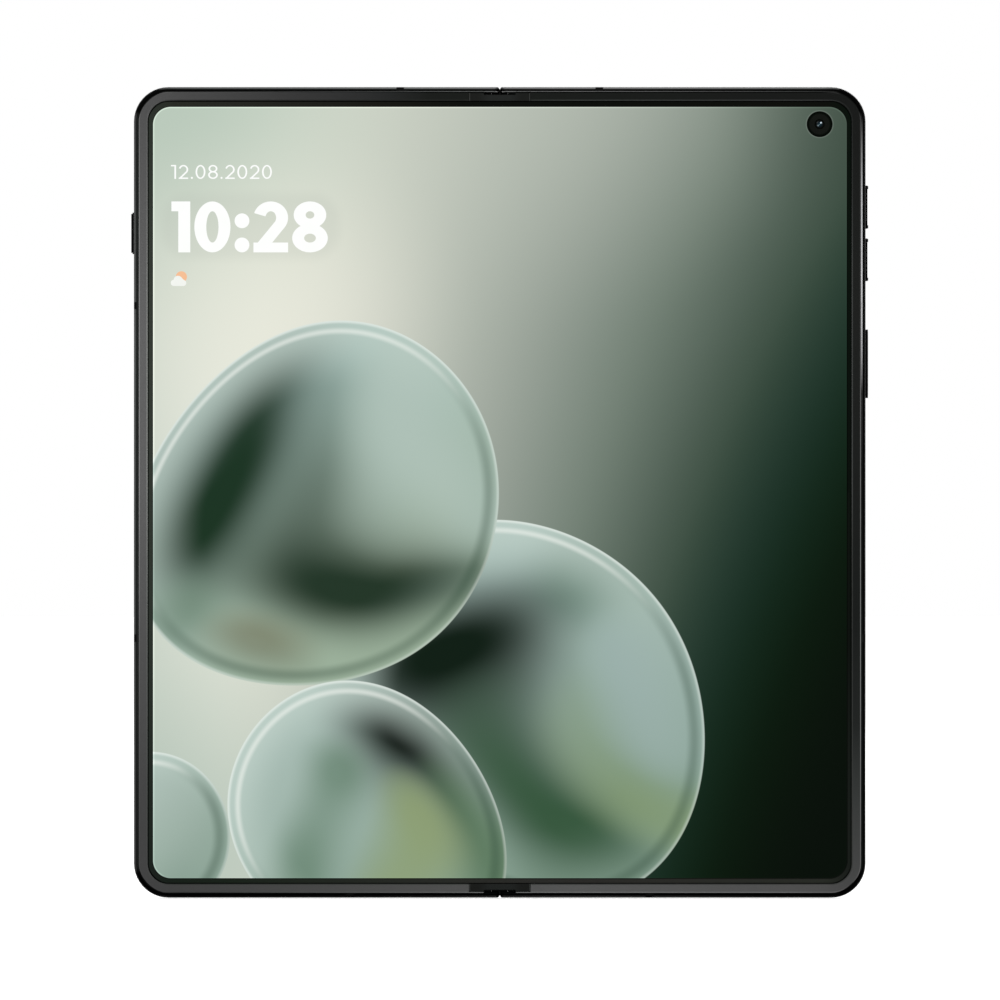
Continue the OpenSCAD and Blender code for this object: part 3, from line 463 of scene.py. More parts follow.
def glass_pebble(s, under, place, x, z, radius, upper, lower, smoke):
    """Lays a large pebble of thick glass over the picture, with dark and light smoke inside it.

    place is the bent place in which the pebble is round. A patch of smoke is (x, z, size, hex
    colour, share), in that place too.
    """
    away = s.from_point(x, z, place)
    inside = s.step(away, radius + 0.12, radius - 0.12)
    parts = s.node("SeparateXYZ")
    s.put(parts.inputs[0], place)
    slope = s.math("SUBTRACT", s.math("MULTIPLY", parts.outputs[2], 0.8),
                   s.math("MULTIPLY", parts.outputs[0], 0.6))
    middle = 0.8 * z - 0.6 * x
    fall = s.step(slope, middle - radius, middle + radius)
    drift = s.node("TexNoise")
    s.put(drift.inputs["Vector"], place)
    s.put(drift.inputs["Scale"], SMOKE_SCALE)
    s.put(drift.inputs["Detail"], 0.0)
    moved = s.vector("SUBTRACT", drift.outputs["Color"], (0.5, 0.5, 0.5))
    moved = s.vector("SCALE", moved, scale=SMOKE_DRIFT)
    curled = s.vector("ADD", place, s.vector("MULTIPLY", moved, (1, 0, 1)))
    body = s.mix(fall, colour(lower), colour(upper))
    for bx, bz, size, text, share in smoke:
        near = s.step(s.from_point(bx, bz, curled), size, size * 0.1)
        body = s.mix(s.math("MULTIPLY", near, share), body, colour(text))
    thick = s.math("ADD", s.math("MULTIPLY", fall, 0.5), 0.25)
    rim = s.math("MULTIPLY", s.step(away, radius * 0.6, radius), thick)
    body = s.mix(rim, body, s.mix(fall, colour("8ba596"), colour("c3d4cc")))
    shade = s.band(away, radius - 3.0, radius - 1.1, 0.9)
    shade = s.math("MULTIPLY", shade, s.step(fall, 0.8, 0.2))
    body = s.mix(s.math("MULTIPLY", shade, 0.4), body, colour("2c4a38"))
    gleam = s.band(away, radius - 2.5, radius - 1.6, 0.5)
    gleam = s.math("MULTIPLY", gleam, s.step(fall, 0.5, 0.95))
    body = s.mix(s.math("MULTIPLY", gleam, 0.5), body, colour("f4f8f2"))
    edge = s.math("MULTIPLY", s.step(away, radius - 0.75, radius - 0.1),
                  s.math("ADD", s.math("MULTIPLY", fall, 0.45), 0.3))
    body = s.mix(edge, body, colour("e6eee8"))
    return s.mix(inside, under, body)


def picture(s):
    """Generic background picture: a pale to deep green field behind overlapping glass pebbles."""
    wave = s.math("SINE", s.math("MULTIPLY", s.z, 0.035))
    bent = s.node("CombineXYZ")
    s.put(bent.inputs[0], s.math("ADD", s.x, s.math("MULTIPLY", wave, 5.0)))
    other = s.math("SINE", s.math("MULTIPLY", s.x, 0.045))
    s.put(bent.inputs[2], s.math("ADD", s.z, s.math("MULTIPLY", other, 4.0)))
    place = bent.outputs[0]
    tilt = s.math("ADD", s.math("MULTIPLY", s.x, 0.0038), 0.3)
    slant = s.math("SUBTRACT", s.x, s.math("MULTIPLY", s.math("SUBTRACT", s.z, 119), tilt))
    out = s.ramp(slant, FIELD[0][0], FIELD[-1][0], *FIELD, kind="B_SPLINE")
    for patch in FIELD_LIGHT:
        out = soft_light(s, out, *patch)
    for pebble in PEBBLES:
        out = glass_pebble(s, out, place, *pebble)
    shade = s.rounded(*CLOCK_SHADE)
    return s.mix(s.math("MULTIPLY", s.step(shade, 1.6, -1.6), 0.16), out, colour("a9b0a8"))


def display(name, rest_attribute=None):
    """The flexible panel: a lit picture inside a dark border, under a low-glare film."""
    s = Shader(name, rest_attribute)
    beyond = s.rounded(LIT_HALF_W, LIT_HALF_H, LIT_R, LIT_MIDDLE)
    lit = s.step(beyond, 0.06, -0.06)
    # Painted highlight along the picture's edge, stronger on the left and top sides
    lit_side = s.math("MAXIMUM", s.step(s.x, -66, -67), s.step(s.z, 153, 155))
    edge_highlight_gain = s.math("ADD", s.math("MULTIPLY", lit_side, 0.35), 0.1)
    edge_highlight_gain = s.math("MULTIPLY", s.step(beyond, -0.28, -0.16), edge_highlight_gain)
    shown = s.vector("SCALE", picture(s), scale=s.math("ADD", edge_highlight_gain, 1.0))
    eye = s.from_point(*EYE)
    shown = s.mix(s.math("MULTIPLY", s.step(eye, 2.85, 2.6), 0.1), shown, colour("dfe8df"))
    shown = s.mix(s.step(eye, 2.58, 2.54), shown, colour("000100"))
    # Painted light and shade on the border: lighter on its left side, darker on its right
    border = by_side(
        s, along_z(s, (0, "191e1a"), (19, "1e231f"), (51, "2a2f2a"), (114, "313530"),
                   (160, "282d28")),
        along_z(s, (0, "171a17"), (19, "151916"), (51, "080c09"), (160, "08100a")),
        along_x(s, (-72, "151c17"), (-53, "192019"), (-8, "282926"), (16, "2a2927"),
                (72, "272a25")),
        along_x(s, (-72, "262822"), (-53, "22231f"), (-24, "161612"), (-8, "0c0e0b"),
                (16, "0a0c09"), (72, "0c0d0a")))
    border = s.mix(s.math("MULTIPLY", s.step(beyond, 0.24, 0.12), 0.7), border, colour("000000"))
    # Painted shade in the gap between the border and the rim, further in on the right and at
    # corners
    right = s.step(s.x, *SIDE_AT)
    depth = s.math("SUBTRACT", edge_depth(s), s.math("MULTIPLY", right, 0.12))
    depth = s.math("SUBTRACT", depth, s.math("MULTIPLY", in_corner(s), 0.14))
    dark = s.math("MULTIPLY", s.step(depth, *BORDER_SHADE_END), 0.9)
    border = s.mix(dark, border, colour("000000"))
    # Painted highlight of the rim's inner edge on the right side, away from the corners
    lip_highlight = s.math("MULTIPLY", s.step(depth, *BORDER_HIGHLIGHT_END), s.step(s.x, 66, 68))
    lip_highlight = s.math("MULTIPLY", lip_highlight, s.math("SUBTRACT", 1.0, in_corner(s)))
    border = s.mix(lip_highlight, border, along_z(s, (0, "303230"), (60, "262826"), (82, "464846"),
                                        (120, "464846"), (140, "262826"), (160, "1a1c1a")))
    speck = s.noise(0.05)
    s.set(base=s.mix(lit, border, colour("010101")), glow=s.mix(lit, colour("000000"), shown),
          strength=1.0, shine=0.01)
    s.set(rough=s.math("ADD", s.math("MULTIPLY", speck, 0.05), 0.12))
    return s.material


def camera_window():
    """Dark round window in the display, a little lighter around its middle."""
    s = Shader("camera_window")
    away = s.from_point(*EYE)
    tone = s.ramp(away, 0.9, 2.6, (0.9, "10120f"), (1.9, "10120f"), (2.1, "050905"),
                  (2.3, "010301"), (2.6, "010301"))
    s.set(base=tone, shine=0.02,
          rough=s.math("ADD", s.math("MULTIPLY", s.noise(0.05), 0.04), 0.08))
    return s.material


def eye_lens():
    """Small dark blue lens with three painted soft reflections of the room."""
    s = Shader("eye_lens")
    x, z = EYE
    tone = s.ramp(s.from_point(x, z), 0, 1, (0, "12262f"), (0.4, "0a1a20"), (0.6, "060c0e"),
                  (0.75, "0f110e"), (1, "10120f"))
    streak = s.math("MULTIPLY", s.step(s.from_point(x - 0.02, z - 0.04), 0.17, 0.08), 0.5)
    tone = s.mix(streak, tone, colour("5f7c84"))
    second = s.math("MULTIPLY", s.step(s.from_point(x - 0.3, z - 0.26), 0.24, 0.08), 0.6)
    tone = s.mix(second, tone, colour("7c8e94"))
    tone = s.mix(s.step(s.from_point(x + 0.27, z + 0.3), 0.23, 0.09), tone, colour("cfe0ea"))
    s.set(base=tone, rough=s.math("ADD", s.math("MULTIPLY", s.noise(0.2), 0.03), 0.05), shine=0.05)
    return s.material


def coated_lens(name, centres, radius, middle, edge):
    """Domed lenses in matte barrels. Their coating turns from one tint to another outwards."""
    s = Shader(name)
    away = nearest(s, centres)
    tone = s.ramp(away, 0, radius, (0, middle), (radius * 0.7, edge), (radius, "030405"))
    groove = s.step(s.math("SINE", s.math("MULTIPLY", away, 2 * math.pi / 0.5)), 0.0, 0.6)
    barrel = s.mix(groove, colour("040405"), colour("121314"))
    dome = s.step(away, radius + 0.02, radius - 0.02)
    s.set(base=s.mix(dome, barrel, tone), coat=s.math("MULTIPLY", dome, 0.5), shine=0.05,
          rough=s.math("ADD", s.math("MULTIPLY", s.noise(0.2), 0.1), 0.3), coat_rough=0.02)
    return s.material


def nearest(s, centres):
    """Distance to the nearest of some points given as (x, z)."""
    away = s.from_point(*centres[0])
    for x, z in centres[1:]:
        away = s.math("MINIMUM", away, s.from_point(x, z))
    return away


def turned(name, text, centres, pitch, **settings):
    """Metal turned on a lathe: fine grooves around each centre."""
    s = Shader(name)
    groove = s.math("SINE", s.math("MULTIPLY", nearest(s, centres), 2 * math.pi / pitch))
    height = s.math("ADD", s.math("MULTIPLY", groove, 0.5), 0.5)
    base = colour(text)
    s.set(base=s.mix(height, tuple(c * 0.8 for c in base[:3]) + (1,), base), **settings)
    s.relief(height, 0.004)
    return s.material


def frosted_back():
    """Frosted dark green glass with a faint mineral shimmer."""
    s = Shader("frosted_back")
    fine = s.noise(0.09, 3.0)
    broad = s.noise(22.0, 1.0)
    tone = s.mix(broad, colour("1b2723"), colour("222f2a"))
    tone = s.mix(s.step(fine, 0.62, 0.74), tone, colour("36453f"))
    s.set(base=tone, shine=0.25, rough=s.math("ADD", s.math("MULTIPLY", fine, 0.12), 0.32))
    s.relief(fine, 0.002)
    return s.material


def cover_screen():
    """Black outer glass over a display that is off, with its border and camera eye."""
    s = Shader("cover_screen")
    beyond = s.rounded(*COVER_LIT)
    tone = s.mix(s.step(beyond, 0.06, -0.06), colour("050506"), colour("0b0d10"))
    away = s.from_point(*COVER_EYE)
    eye = s.ramp(away, 0, 2.6, (0, "0c1626"), (0.6, "101d30"), (0.95, "020203"), (1.5, "15171a"),
                 (2.1, "060607"), (2.6, "030303"))
    tone = s.mix(s.step(away, 2.35, 2.25), tone, eye)
    smear = s.noise(9.0, 3.0)
    s.set(base=tone, shine=0.18, rough=s.math("ADD", s.math("MULTIPLY", smear, 0.06), 0.03))
    return s.material


def circuit(name):
    """Green board with copper traces, pads and vias under its mask."""
    s = Shader(name)
    cell = s.node("TexBrick")
    s.put(cell.inputs["Vector"], s.vector("MULTIPLY", s.mm, (0.55, 0.55, 0.55)))
    s.put(cell.inputs["Color1"], colour("0d3a22"))
    s.put(cell.inputs["Color2"], colour("114a2b"))
    s.put(cell.inputs["Mortar"], colour("2f7a4c"))
    s.put(cell.inputs["Mortar Size"], 0.03)
    dots = s.node("TexVoronoi")
    s.put(dots.inputs["Vector"], s.mm)
    s.put(dots.inputs["Scale"], 0.7)
    pad = s.step(dots.outputs["Distance"], 0.22, 0.16)
    s.set(base=s.mix(pad, cell.outputs["Color"], colour("c9a24b")),
          metal=s.math("MULTIPLY", pad, 0.8), rough=0.42)
    s.relief(cell.outputs["Fac"], 0.03)
    return s.material


def foil(name, text):
    """Crinkled pouch of a battery."""
    s = Shader(name)
    crease = s.noise(3.0, 4.0)
    s.set(base=s.mix(crease, colour(text), colour("4a4b50")), metal=0.35,
          rough=s.math("ADD", s.math("MULTIPLY", crease, 0.2), 0.3))
    s.relief(crease, 0.12)
    return s.material


def striped(name, text, line, pitch, **settings):
    """Film with fine parallel lines across it."""
    s = Shader(name)
    wave = s.math("SINE", s.math("MULTIPLY", s.z, 2 * math.pi / pitch))
    s.set(base=s.mix(s.step(wave, 0.1, 0.5), colour(text), colour(line)), **settings)
    s.relief(wave, 0.01)
    return s.material


def clear_glass():
    """Glass with a coating that takes most of its reflection away, hence the low index."""
    s = Shader("clear_glass")
    s.set(base=colour("e8eef0"), clear=1.0, ior=1.15,
          rough=s.math("MULTIPLY", s.noise(2.0), 0.004))
    return s.material


def flash_plastic(centre):
    """Frosted flash lens over two lamps, with ring-shaped prisms."""
    s = Shader("flash_plastic")
    away = s.from_point(*centre)
    groove = s.math("SINE", s.math("MULTIPLY", away, 2 * math.pi / 0.7))
    lamp = s.math("MINIMUM", s.from_point(centre[0] - 1.1, centre[1]),
                  s.from_point(centre[0] + 1.1, centre[1]))
    tone = s.mix(s.step(lamp, 1.3, 0.7), colour("dfe0d6"), colour("e6c873"))
    s.set(base=s.mix(s.step(away, 3.3, 3.4), tone, colour("1a1c1d")), rough=0.22, shine=0.5)
    s.relief(groove, 0.05)
    return s.material


def stretched_steel(name, text, rough, stretch):
    """Steel whose grain runs along stretch."""
    return grained(name, text, rough, size=0.1, contrast=0.12, depth=0.003, stretch=stretch,
                   metal=1.0)


def dress_cad():
    """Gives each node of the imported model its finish."""
    island = centre_of("camera_island")
    corners = [(island.x + sx * LENS_STEP, island.z + sz * LENS_STEP)
               for sx, sz in ((-1, 1), (1, 1), (-1, -1), (1, -1))]
    lenses = corners[:3]
    flash = corners[3]
    dress(frame_metal("black_anodised", ("0d0e10", "141517"), 1.0, rough=0.42, metal=1.0),
          "right_frame", "left_frame", "sim_tray")
    dress(frame_metal("break_plastic", ("0a0a0b", "131314"), 0.0, rough=0.6, shine=0.05),
          "right_breaks", "left_breaks")
    dress(rim_rubber(), "right_rim", "left_rim")
    dress(display("display_panel"), "right_display", "left_display")
    dress(camera_window(), "inner_camera_window")
    dress(eye_lens(), "inner_camera_lens")
    dress(grained("camera_housing", "151517", 0.5), "inner_camera_body", "cover_camera")
    dress(frosted_back(), "back_panel")
    dress(grained("island_glass", "18221f", 0.12, size=0.2, contrast=0.1, depth=0.0005, shine=0.15,
                  coat=0.12, coat_rough=0.04), "camera_island")
    dress(turned("lens_rings", "505456", corners, 0.12, metal=1.0, rough=0.28), "camera_rings")
    dress(clear_glass(), "camera_glasses")
    dress(coated_lens("rear_lenses", lenses, 2.6, "223f80", "18143e"), "camera_lenses")
    dress(grained("camera_blocks", "5e5130", 0.45, metal=0.6), "camera_modules")
    dress(flash_plastic(flash), "flash_lens")
    dress(grained("key_metal", "040405", 0.5, size=0.07, contrast=0.2, depth=0.001, shine=0.04),
          "volume_up_key", "volume_down_key", "power_key", "side_key")
    dress(striped("switch_film", "b8792b", "d9a14a", 0.5, rough=0.4, metal=0.3),
          "right_switches", "left_switch")
    dress(foil("battery_pouch", "2c2d31"), "right_battery", "left_battery")
    dress(circuit("circuit_board"), "main_board", "sub_board")
    dress(stretched_steel("stamped_steel", "b3b4b8", 0.3, (6, 1, 1)), "usb_port", "sim_socket")
    dress(grained("speaker_box", "1a1a1c", 0.5, size=0.15), "bottom_speaker", "top_speaker")
    dress(stretched_steel("motor_can", "9fa1a5", 0.35, (1, 1, 5)), "vibration_motor")
    dress(grained("nickel", "c4c5c9", 0.22, contrast=0.08, metal=1.0),
          "right_magnets", "left_magnets")
    dress(stretched_steel("screw_steel", "c8c9cc", 0.25, (1, 1, 1)),
          "right_screws", "left_screws")
    dress(cover_screen(), "cover_glass")
    dress(striped("cover_panel_back", "1a1c22", "22252c", 0.4, rough=0.35), "cover_panel")
    dress(grained("spine_metal", "1c1d20", 0.32, size=0.08, contrast=0.2, stretch=(1, 1, 8),
                  metal=0.6), "spine_cover")
    dress(stretched_steel("bearing_steel", "8c8e92", 0.34, (1, 1, 6)), "spine_bearings",
          "right_arms", "left_arms")
    dress(grained("end_cap", "040404", 0.7, shine=0.05), "spine_end_caps")
    dress(stretched_steel("plate_steel", "9a9ca0", 0.3, (1, 1, 10)),
          "centre_plate", "right_wing", "left_wing")
    dress(stretched_steel("pin_steel", "d2d3d6", 0.16, (1, 1, 12)),
          "hinge_pins", "right_wing_pin", "left_wing_pin")
    dress(grained("washer_bronze", "a8905a", 0.3, contrast=0.15, metal=1.0), "friction_washers")
    dress(grained("gear_brass", "b89a4e", 0.28, contrast=0.15, metal=1.0),
          "right_idler", "left_idler")


def finish_mesh(name, made, material):
    """Turns a finished bmesh into an object of the scene, with smooth faces and sharp edges."""
    mesh = bpy.data.meshes.new(name)
    made.normal_update()
    made.to_mesh(mesh)
    made.free()
    mesh.materials.append(material)
    mesh.shade_smooth()
    mesh.set_sharp_from_angle(angle=math.radians(30))
    piece = bpy.data.objects.new(name, mesh)
    bpy.context.scene.collection.objects.link(piece)
    return piece


def keep_rest(piece):
    """Stores where each point lies at rest, as the place the picture's material reads."""
    rest = piece.data.attributes.new("rest_place", "FLOAT_VECTOR", "POINT")
    for k, vertex in enumerate(piece.data.vertices):
        rest.data[k].vector = vertex.co
    return piece


def bending_sheet(name, columns, rows, front, thickness, material, shift=None):
    """A closed sheet over the fold. columns and rows are x and z in millimetres.

    front gives the depth of its front at x. shift, given x and z, gives the z to use there.
    """
    made = bmesh.new()

    def corner(x, z, back):
        return made.verts.new((x * MM, (front(x) + back) * MM, (shift(x, z) if shift else z) * MM))

    layers = [[[corner(x, z, back) for x in columns] for z in rows] for back in (0, thickness)]
    nx, nz = len(columns) - 1, len(rows) - 1
    for k in range(nz):
        for j in range(nx):
            for grid in layers:
                made.faces.new([grid[k][j], grid[k][j + 1], grid[k + 1][j + 1], grid[k + 1][j]])
    top, under = layers
    for j in range(nx):
        for k in (0, nz):
            made.faces.new([top[k][j], under[k][j], under[k][j + 1], top[k][j + 1]])
    for k in range(nz):
        for j in (0, nx):
            made.faces.new([top[k][j], under[k][j], under[k + 1][j], top[k + 1][j]])
    bmesh.ops.recalc_face_normals(made, faces=made.faces)
    return keep_rest(finish_mesh(name, made, material))


def spread(low, high, step):
    """Even values from low to high, at most a step apart."""
    count = max(1, math.ceil((high - low) / step - 1e-6))
    return [low + (high - low) * k / count for k in range(count + 1)]


def bend(piece, sign):
    """Bakes a piece's place into its points, alike on either side of the fold."""
    if sign > 0:
        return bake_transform(piece)
    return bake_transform(piece)


def shield_rubber():
    """Flexible black cover with a soft sheen and faint seams, painted as thin light lines."""
    s = Shader("shield_rubber", "rest_place")
    across = s.math("ABSOLUTE", s.x)
    # Painted highlight: a thin light line along each seam
    seam_highlight = s.band(across, SHIELD_HALF - 0.14, SHIELD_HALF, 0.04)
    tone = s.mix(s.noise(0.08), colour("121312"), colour("191a18"))
    tone = s.mix(s.step(across, 4.6, 1.6), tone, colour("1d1f1e"))
    tone = s.mix(seam_highlight, tone, colour("363836"))
    # Painted shade: a black line across the shield's outer end, where it meets the rim
    start = s.math("SUBTRACT", 1.3, s.math("MULTIPLY", s.step(s.z, *UPPER_AT), 0.16))
    groove = s.step(s.math("SUBTRACT", edge_depth(s), start), 0.03, -0.03)
    tone = s.mix(groove, tone, colour("000000"))
    s.set(base=tone, rough=0.6, shine=0.04)
    s.relief(s.noise(0.06), 0.005)
    return s.material


def flex_film():
    """Amber film with copper tracks."""
    s = Shader("flex_film", "rest_place")
    wave = s.math("SINE", s.math("MULTIPLY", s.z, 2 * math.pi / 0.6))
    s.set(base=s.mix(s.step(wave, 0.1, 0.4), colour("a5651d"), colour("d08a35")), rough=0.35,
          metal=0.2)
    return s.material


def drawn_back(z_end, turn, cut, length):
    """Gives the shift that draws a shield back by cut at the slot in its middle.

    z_end is where the shield ends, turn is 1 or -1 along it from there, and length is how long
    it is.
    """
    def shift(x, z):
        if abs(x) > SLOT_HALF:
            return z
        reach = abs(z - z_end)
        return z_end + turn * (cut + reach * (1 - cut / length))

    return shift


def make_fold():
    """The pieces over the fold: the middle of the display, its end shields and the hinge cables."""
    low, high = (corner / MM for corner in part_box("fold_display"))
    shields = [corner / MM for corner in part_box("fold_shields")]
    cables = [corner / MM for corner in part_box("hinge_flex")]
    panel = display("display_bend", "rest_place")
    shield = shield_rubber()
    film = flex_film()
    crease, crease_w = 0.03, 2.6
    fine, coarse, shield_step = 0.25, 4.0, 0.3
    slot_cut = SLOT_END - shields[0].z
    shield_l = RIM_INNER - shields[0].z

    def front(x):
        """Depth of the display's front, with the faint crease in the middle."""
        return low.y + crease * math.exp(-(x / crease_w) ** 2)

    for side, sign in (("right", 1), ("left", -1)):
        columns = [sign * x for x in spread(0, BEND_HALF, fine)]
        sheet = bending_sheet("fold_display_" + side, columns, spread(low.z, high.z, coarse), front,
                              high.y - low.y - crease, panel)
        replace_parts(bend(sheet, sign), "fold_display")
        columns = spread(0, SLOT_HALF, shield_step) + [SLOT_HALF + 0.04]
        columns += spread(SLOT_HALF + shield_step, SHIELD_HALF, shield_step)
        columns = [sign * x for x in columns]
        for end, z_end, turn in (("lower", shields[0].z, 1), ("upper", shields[1].z, -1)):
            rows = [z_end + turn * z for z in spread(0, shield_l, shield_step)]
            cover = bending_sheet(f"fold_shield_{end}_{side}", columns, rows,
                                  lambda x: shields[0].y, shields[1].y - shields[0].y, shield,
                                  drawn_back(z_end, turn, slot_cut, shield_l))
            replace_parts(bend(cover, sign), "fold_shields")
        columns = [sign * x for x in spread(0, cables[1].x, fine)]
        for end, z in (("lower", cables[0].z), ("upper", cables[1].z - CABLE_H)):
            cable = bending_sheet(f"hinge_flex_{end}_{side}", columns,
                                  spread(z, z + CABLE_H, coarse), lambda x: cables[0].y,
                                  cables[1].y - cables[0].y, film)
            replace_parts(bend(cable, sign), "hinge_flex")


def arc(x, z, rx, rz, start, end, count=24):
    """Points along an ellipse, from a start to an end angle in degrees."""
    return [(x + rx * math.cos(math.radians(a)), z + rz * math.sin(math.radians(a)))
            for a in (start + (end - start) * k / count for k in range(count + 1))]


def strokes(figure, pen):
    """Centre lines of a figure in a box 1 high: open lines as points, ovals as (x, z, rx, rz)."""
    w = FIGURE_W[figure]
    half = pen / 2
    thin = half * LEVEL_PEN
    left, right, low, high = half, w - half, thin, 1 - thin
    mid = w / 2
    upper_z, upper_r, lower_r = 0.735, 0.265, 0.28
    if figure == "0":
        return [], [(mid, 0.5, mid - half, 0.5 - thin)]
    if figure == "1":
        return [[(0, high), (right, high)], [(right, 0), (right, 1)]], []
    if figure == "2":
        r = mid - half
        top = arc(mid, high - r, r, r, 165, -38)
        return [top + [(left + 0.03, low)], [(left - half, low), (right + half, low)]], []
    return [], [(mid, upper_z, mid - half - 0.03, upper_r - thin),
                (mid, lower_r, mid - half, lower_r - thin)]


def ribbon(made, points, pen):
    """Adds a flat stroke along points to a mesh, thinner where it runs level."""
    sides = []
    for k, (x, z) in enumerate(points):
        before, after = points[max(k - 1, 0)], points[min(k + 1, len(points) - 1)]
        dx, dz = after[0] - before[0], after[1] - before[1]
        length = math.hypot(dx, dz)
        nx, nz = -dz / length * pen / 2, dx / length * pen / 2 * LEVEL_PEN
        sides.append([made.verts.new((x + nx, 0, z + nz)), made.verts.new((x - nx, 0, z - nz))])
    for a, b in zip(sides, sides[1:]):
        made.faces.new([a[0], a[1], b[1], b[0]])


def oval(made, x, z, rx, rz, pen, count=48):
    """Adds a ring of the pen's width to a mesh, thinner where it runs level."""
    rings = []
    for side in (1, -1):
        edge = arc(x, z, rx + side * pen / 2, rz + side * pen / 2 * LEVEL_PEN, 0, 360, count)[:-1]
        rings.append([made.verts.new((px, 0, pz)) for px, pz in edge])
    outer, inner = rings
    for k in range(count):
        made.faces.new([outer[k - 1], outer[k], inner[k], inner[k - 1]])


def disc(made, x, z, r, count):
    """Adds a round face to a mesh."""
    edge = arc(x, z, r, r, 0, 360, count)[:-1]
    made.faces.new([made.verts.new((px, 0, pz)) for px, pz in edge])


def lit_ink(name, text, edge_text):
    """Lit ink of the display, whose colour wavers a little."""
    s = Shader(name)
    glow = s.mix(s.noise(3.0), colour(text), colour(edge_text))
    s.set(base=colour("101010"), glow=glow, strength=1.0, rough=0.3, shine=0.05)
    return s.material


def thicken(made, depth):
    """Turns flat faces into solids that reach back by depth."""
    faces = list(made.faces)
    rims = [edge for edge in made.edges if len(edge.link_faces) == 1]
    behind = {vertex: made.verts.new(vertex.co + Vector((0, depth, 0)))
              for vertex in list(made.verts)}
    for face in faces:
        made.faces.new([behind[vertex] for vertex in face.verts])
    for edge in rims:
        first, second = edge.verts
        made.faces.new([first, second, behind[second], behind[first]])
    bmesh.ops.recalc_face_normals(made, faces=made.faces)


def place_flat(name, made, x, z, size, level, material):
    """Scales a flat shape, gives it a little thickness and puts it on the left display."""
    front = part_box("left_display")[0].y
    for vertex in made.verts:
        vertex.co = ((x + vertex.co.x * size) * MM, front - level * MM,
                     (z + vertex.co.z * size) * MM)
    thicken(made, level * MM)
    piece = finish_mesh(name, made, material)
    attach(piece, "left_half")
    return piece


def write(name, text, x, z, height, pen, gap, material):
    """Writes figures, colons and stops in a row whose lower left corner is at x, z."""
    made = bmesh.new()
    at = 0.0
    dot = pen * DOT_R
    for sign in text:
        if sign in ":.":
            for level in ((dot, COLON_TOP) if sign == ":" else (dot,)):
                disc(made, at + dot, level, dot, 32)
            at += 2 * dot + gap
            continue
        lines, ovals = strokes(sign, pen)
        for points in lines:
            ribbon(made, [(px + at, pz) for px, pz in points], pen)
        for middle_x, *rest in ovals:
            oval(made, middle_x + at, *rest, pen)
        at += FIGURE_W[sign] + gap
    return place_flat(name, made, x, z, height, INK_LEVEL, material)


def make_clock():
    """Plain figures and a small sun and cloud, lit on the left half of the display."""
    white = lit_ink("lit_white", "ffffff", "fbfdfa")
    for figure_row in FIGURES:
        write(*figure_row, white)
    sun = bmesh.new()
    disc(sun, *SUN, 40)
    sun_ink = lit_ink("lit_sun", "f7b98c", "f4c29a")
    place_flat("weather_sun", sun, 0, 0, 1.0, SUN_LEVEL, sun_ink)
    cloud = bmesh.new()
    for x, z, r, start, end, count in CLOUD:
        for px, pz in arc(x, z, r, r, start, end, count):
            cloud.verts.new((px, 0, pz))
    cloud.faces.new(list(cloud.verts))
    cloud_ink = lit_ink("lit_cloud", "f6f8f3", "e9ece6")
    place_flat("weather_cloud", cloud, 0, 0, 1.0, CLOUD_LEVEL, cloud_ink)


def area_light(name, place, size, power):
    """Rectangular lamp turned towards the phone."""
    data = bpy.data.lights.new(name, "AREA")
    data.shape = "RECTANGLE"
    data.size, data.size_y = size
    data.energy = power
    lamp = bpy.data.objects.new(name, data)
    lamp.location = place
    lamp.rotation_euler = (Vector(AIM) - Vector(place)).to_track_quat("-Z", "Y").to_euler()
    bpy.context.scene.collection.objects.link(lamp)


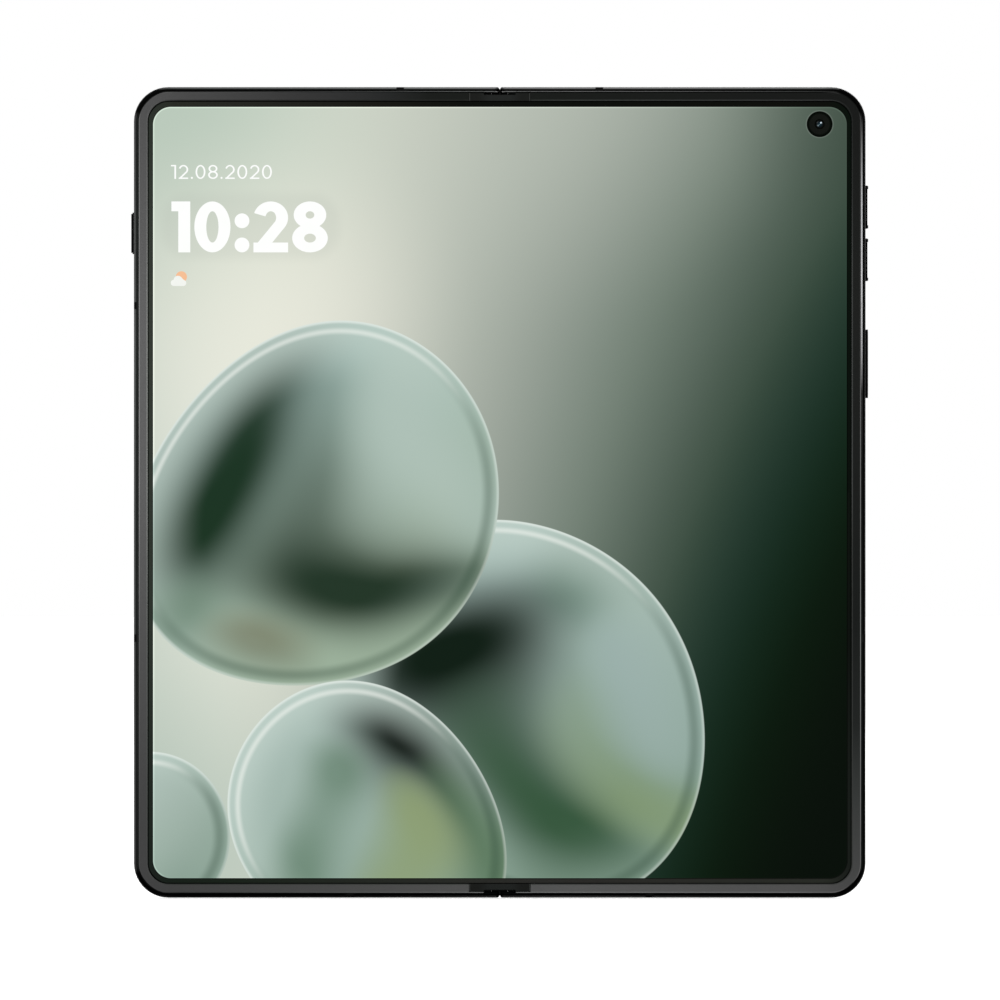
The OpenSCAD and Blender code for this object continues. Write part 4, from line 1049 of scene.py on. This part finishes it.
def make_studio():
    """Pale floor, white surround and soft lamps."""
    world = bpy.data.worlds.new("studio")
    bpy.context.scene.world = world
    world.use_nodes = True
    tree = world.node_tree
    back = tree.nodes["Background"]
    rays = tree.nodes.new("ShaderNodeLightPath")
    seen = tree.nodes.new("ShaderNodeMath")
    seen.operation = "MAXIMUM"
    also = tree.nodes.new("ShaderNodeMath")
    also.operation = "MAXIMUM"
    tree.links.new(rays.outputs["Is Camera Ray"], seen.inputs[0])
    tree.links.new(rays.outputs["Is Glossy Ray"], seen.inputs[1])
    tree.links.new(seen.outputs[0], also.inputs[0])
    tree.links.new(rays.outputs["Is Transmission Ray"], also.inputs[1])
    level = tree.nodes.new("ShaderNodeMapRange")
    tree.links.new(also.outputs[0], level.inputs[0])
    level.inputs["To Min"].default_value = WORLD_LIGHT
    level.inputs["To Max"].default_value = 1.0
    tree.links.new(level.outputs[0], back.inputs["Strength"])
    back.inputs["Color"].default_value = (1, 1, 1, 1)

    made = bmesh.new()
    bmesh.ops.create_grid(made, x_segments=8, y_segments=8, size=FLOOR_HALF)
    s = Shader("studio_floor")
    paper = s.noise(1.2)
    s.set(base=s.mix(paper, colour("eeeeee"), colour("f3f3f3")), rough=0.9, shine=0.05)
    looked_at = s.node("LightPath").outputs["Is Camera Ray"]
    s.set(glow=(1, 1, 1, 1), strength=s.math("MULTIPLY", looked_at, FLOOR_GLOW))
    # From below the floor lets the eye through, so the bottom edge and the drawn card tray show.
    one_sided = s.node("MixShader")
    s.put(one_sided.inputs[0], s.node("NewGeometry").outputs["Backfacing"])
    s.put(one_sided.inputs[1], s.bsdf.outputs[0])
    s.put(one_sided.inputs[2], s.node("BsdfTransparent").outputs[0])
    s.put(s.tree.nodes["Material Output"].inputs["Surface"], one_sided.outputs[0])
    floor = finish_mesh("studio_floor", made, s.material)
    floor.location.z = -FLOOR_GAP * MM
    for lamp in LAMPS:
        area_light(*lamp)


def make_camera():
    """Long lens straight in front, framed as the photograph is."""
    view_w = 197.38
    sensor = 36.0
    distance = 2500.0
    centre_x, centre_z = 0.055, 78.52
    data = bpy.data.cameras.new("camera")
    data.sensor_width = sensor
    data.lens = sensor * distance / view_w
    data.clip_start, data.clip_end = 0.05, 50.0
    camera = bpy.data.objects.new("camera", data)
    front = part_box("left_display")[0].y
    camera.location = (centre_x * MM, front - distance * MM, centre_z * MM)
    camera.rotation_euler = (math.radians(90), 0, 0)
    bpy.context.scene.collection.objects.link(camera)
    bpy.context.scene.camera = camera
    bpy.context.scene.view_settings.view_transform = "Standard"


make_camera()
dress_cad()
make_fold()
make_clock()
make_studio()
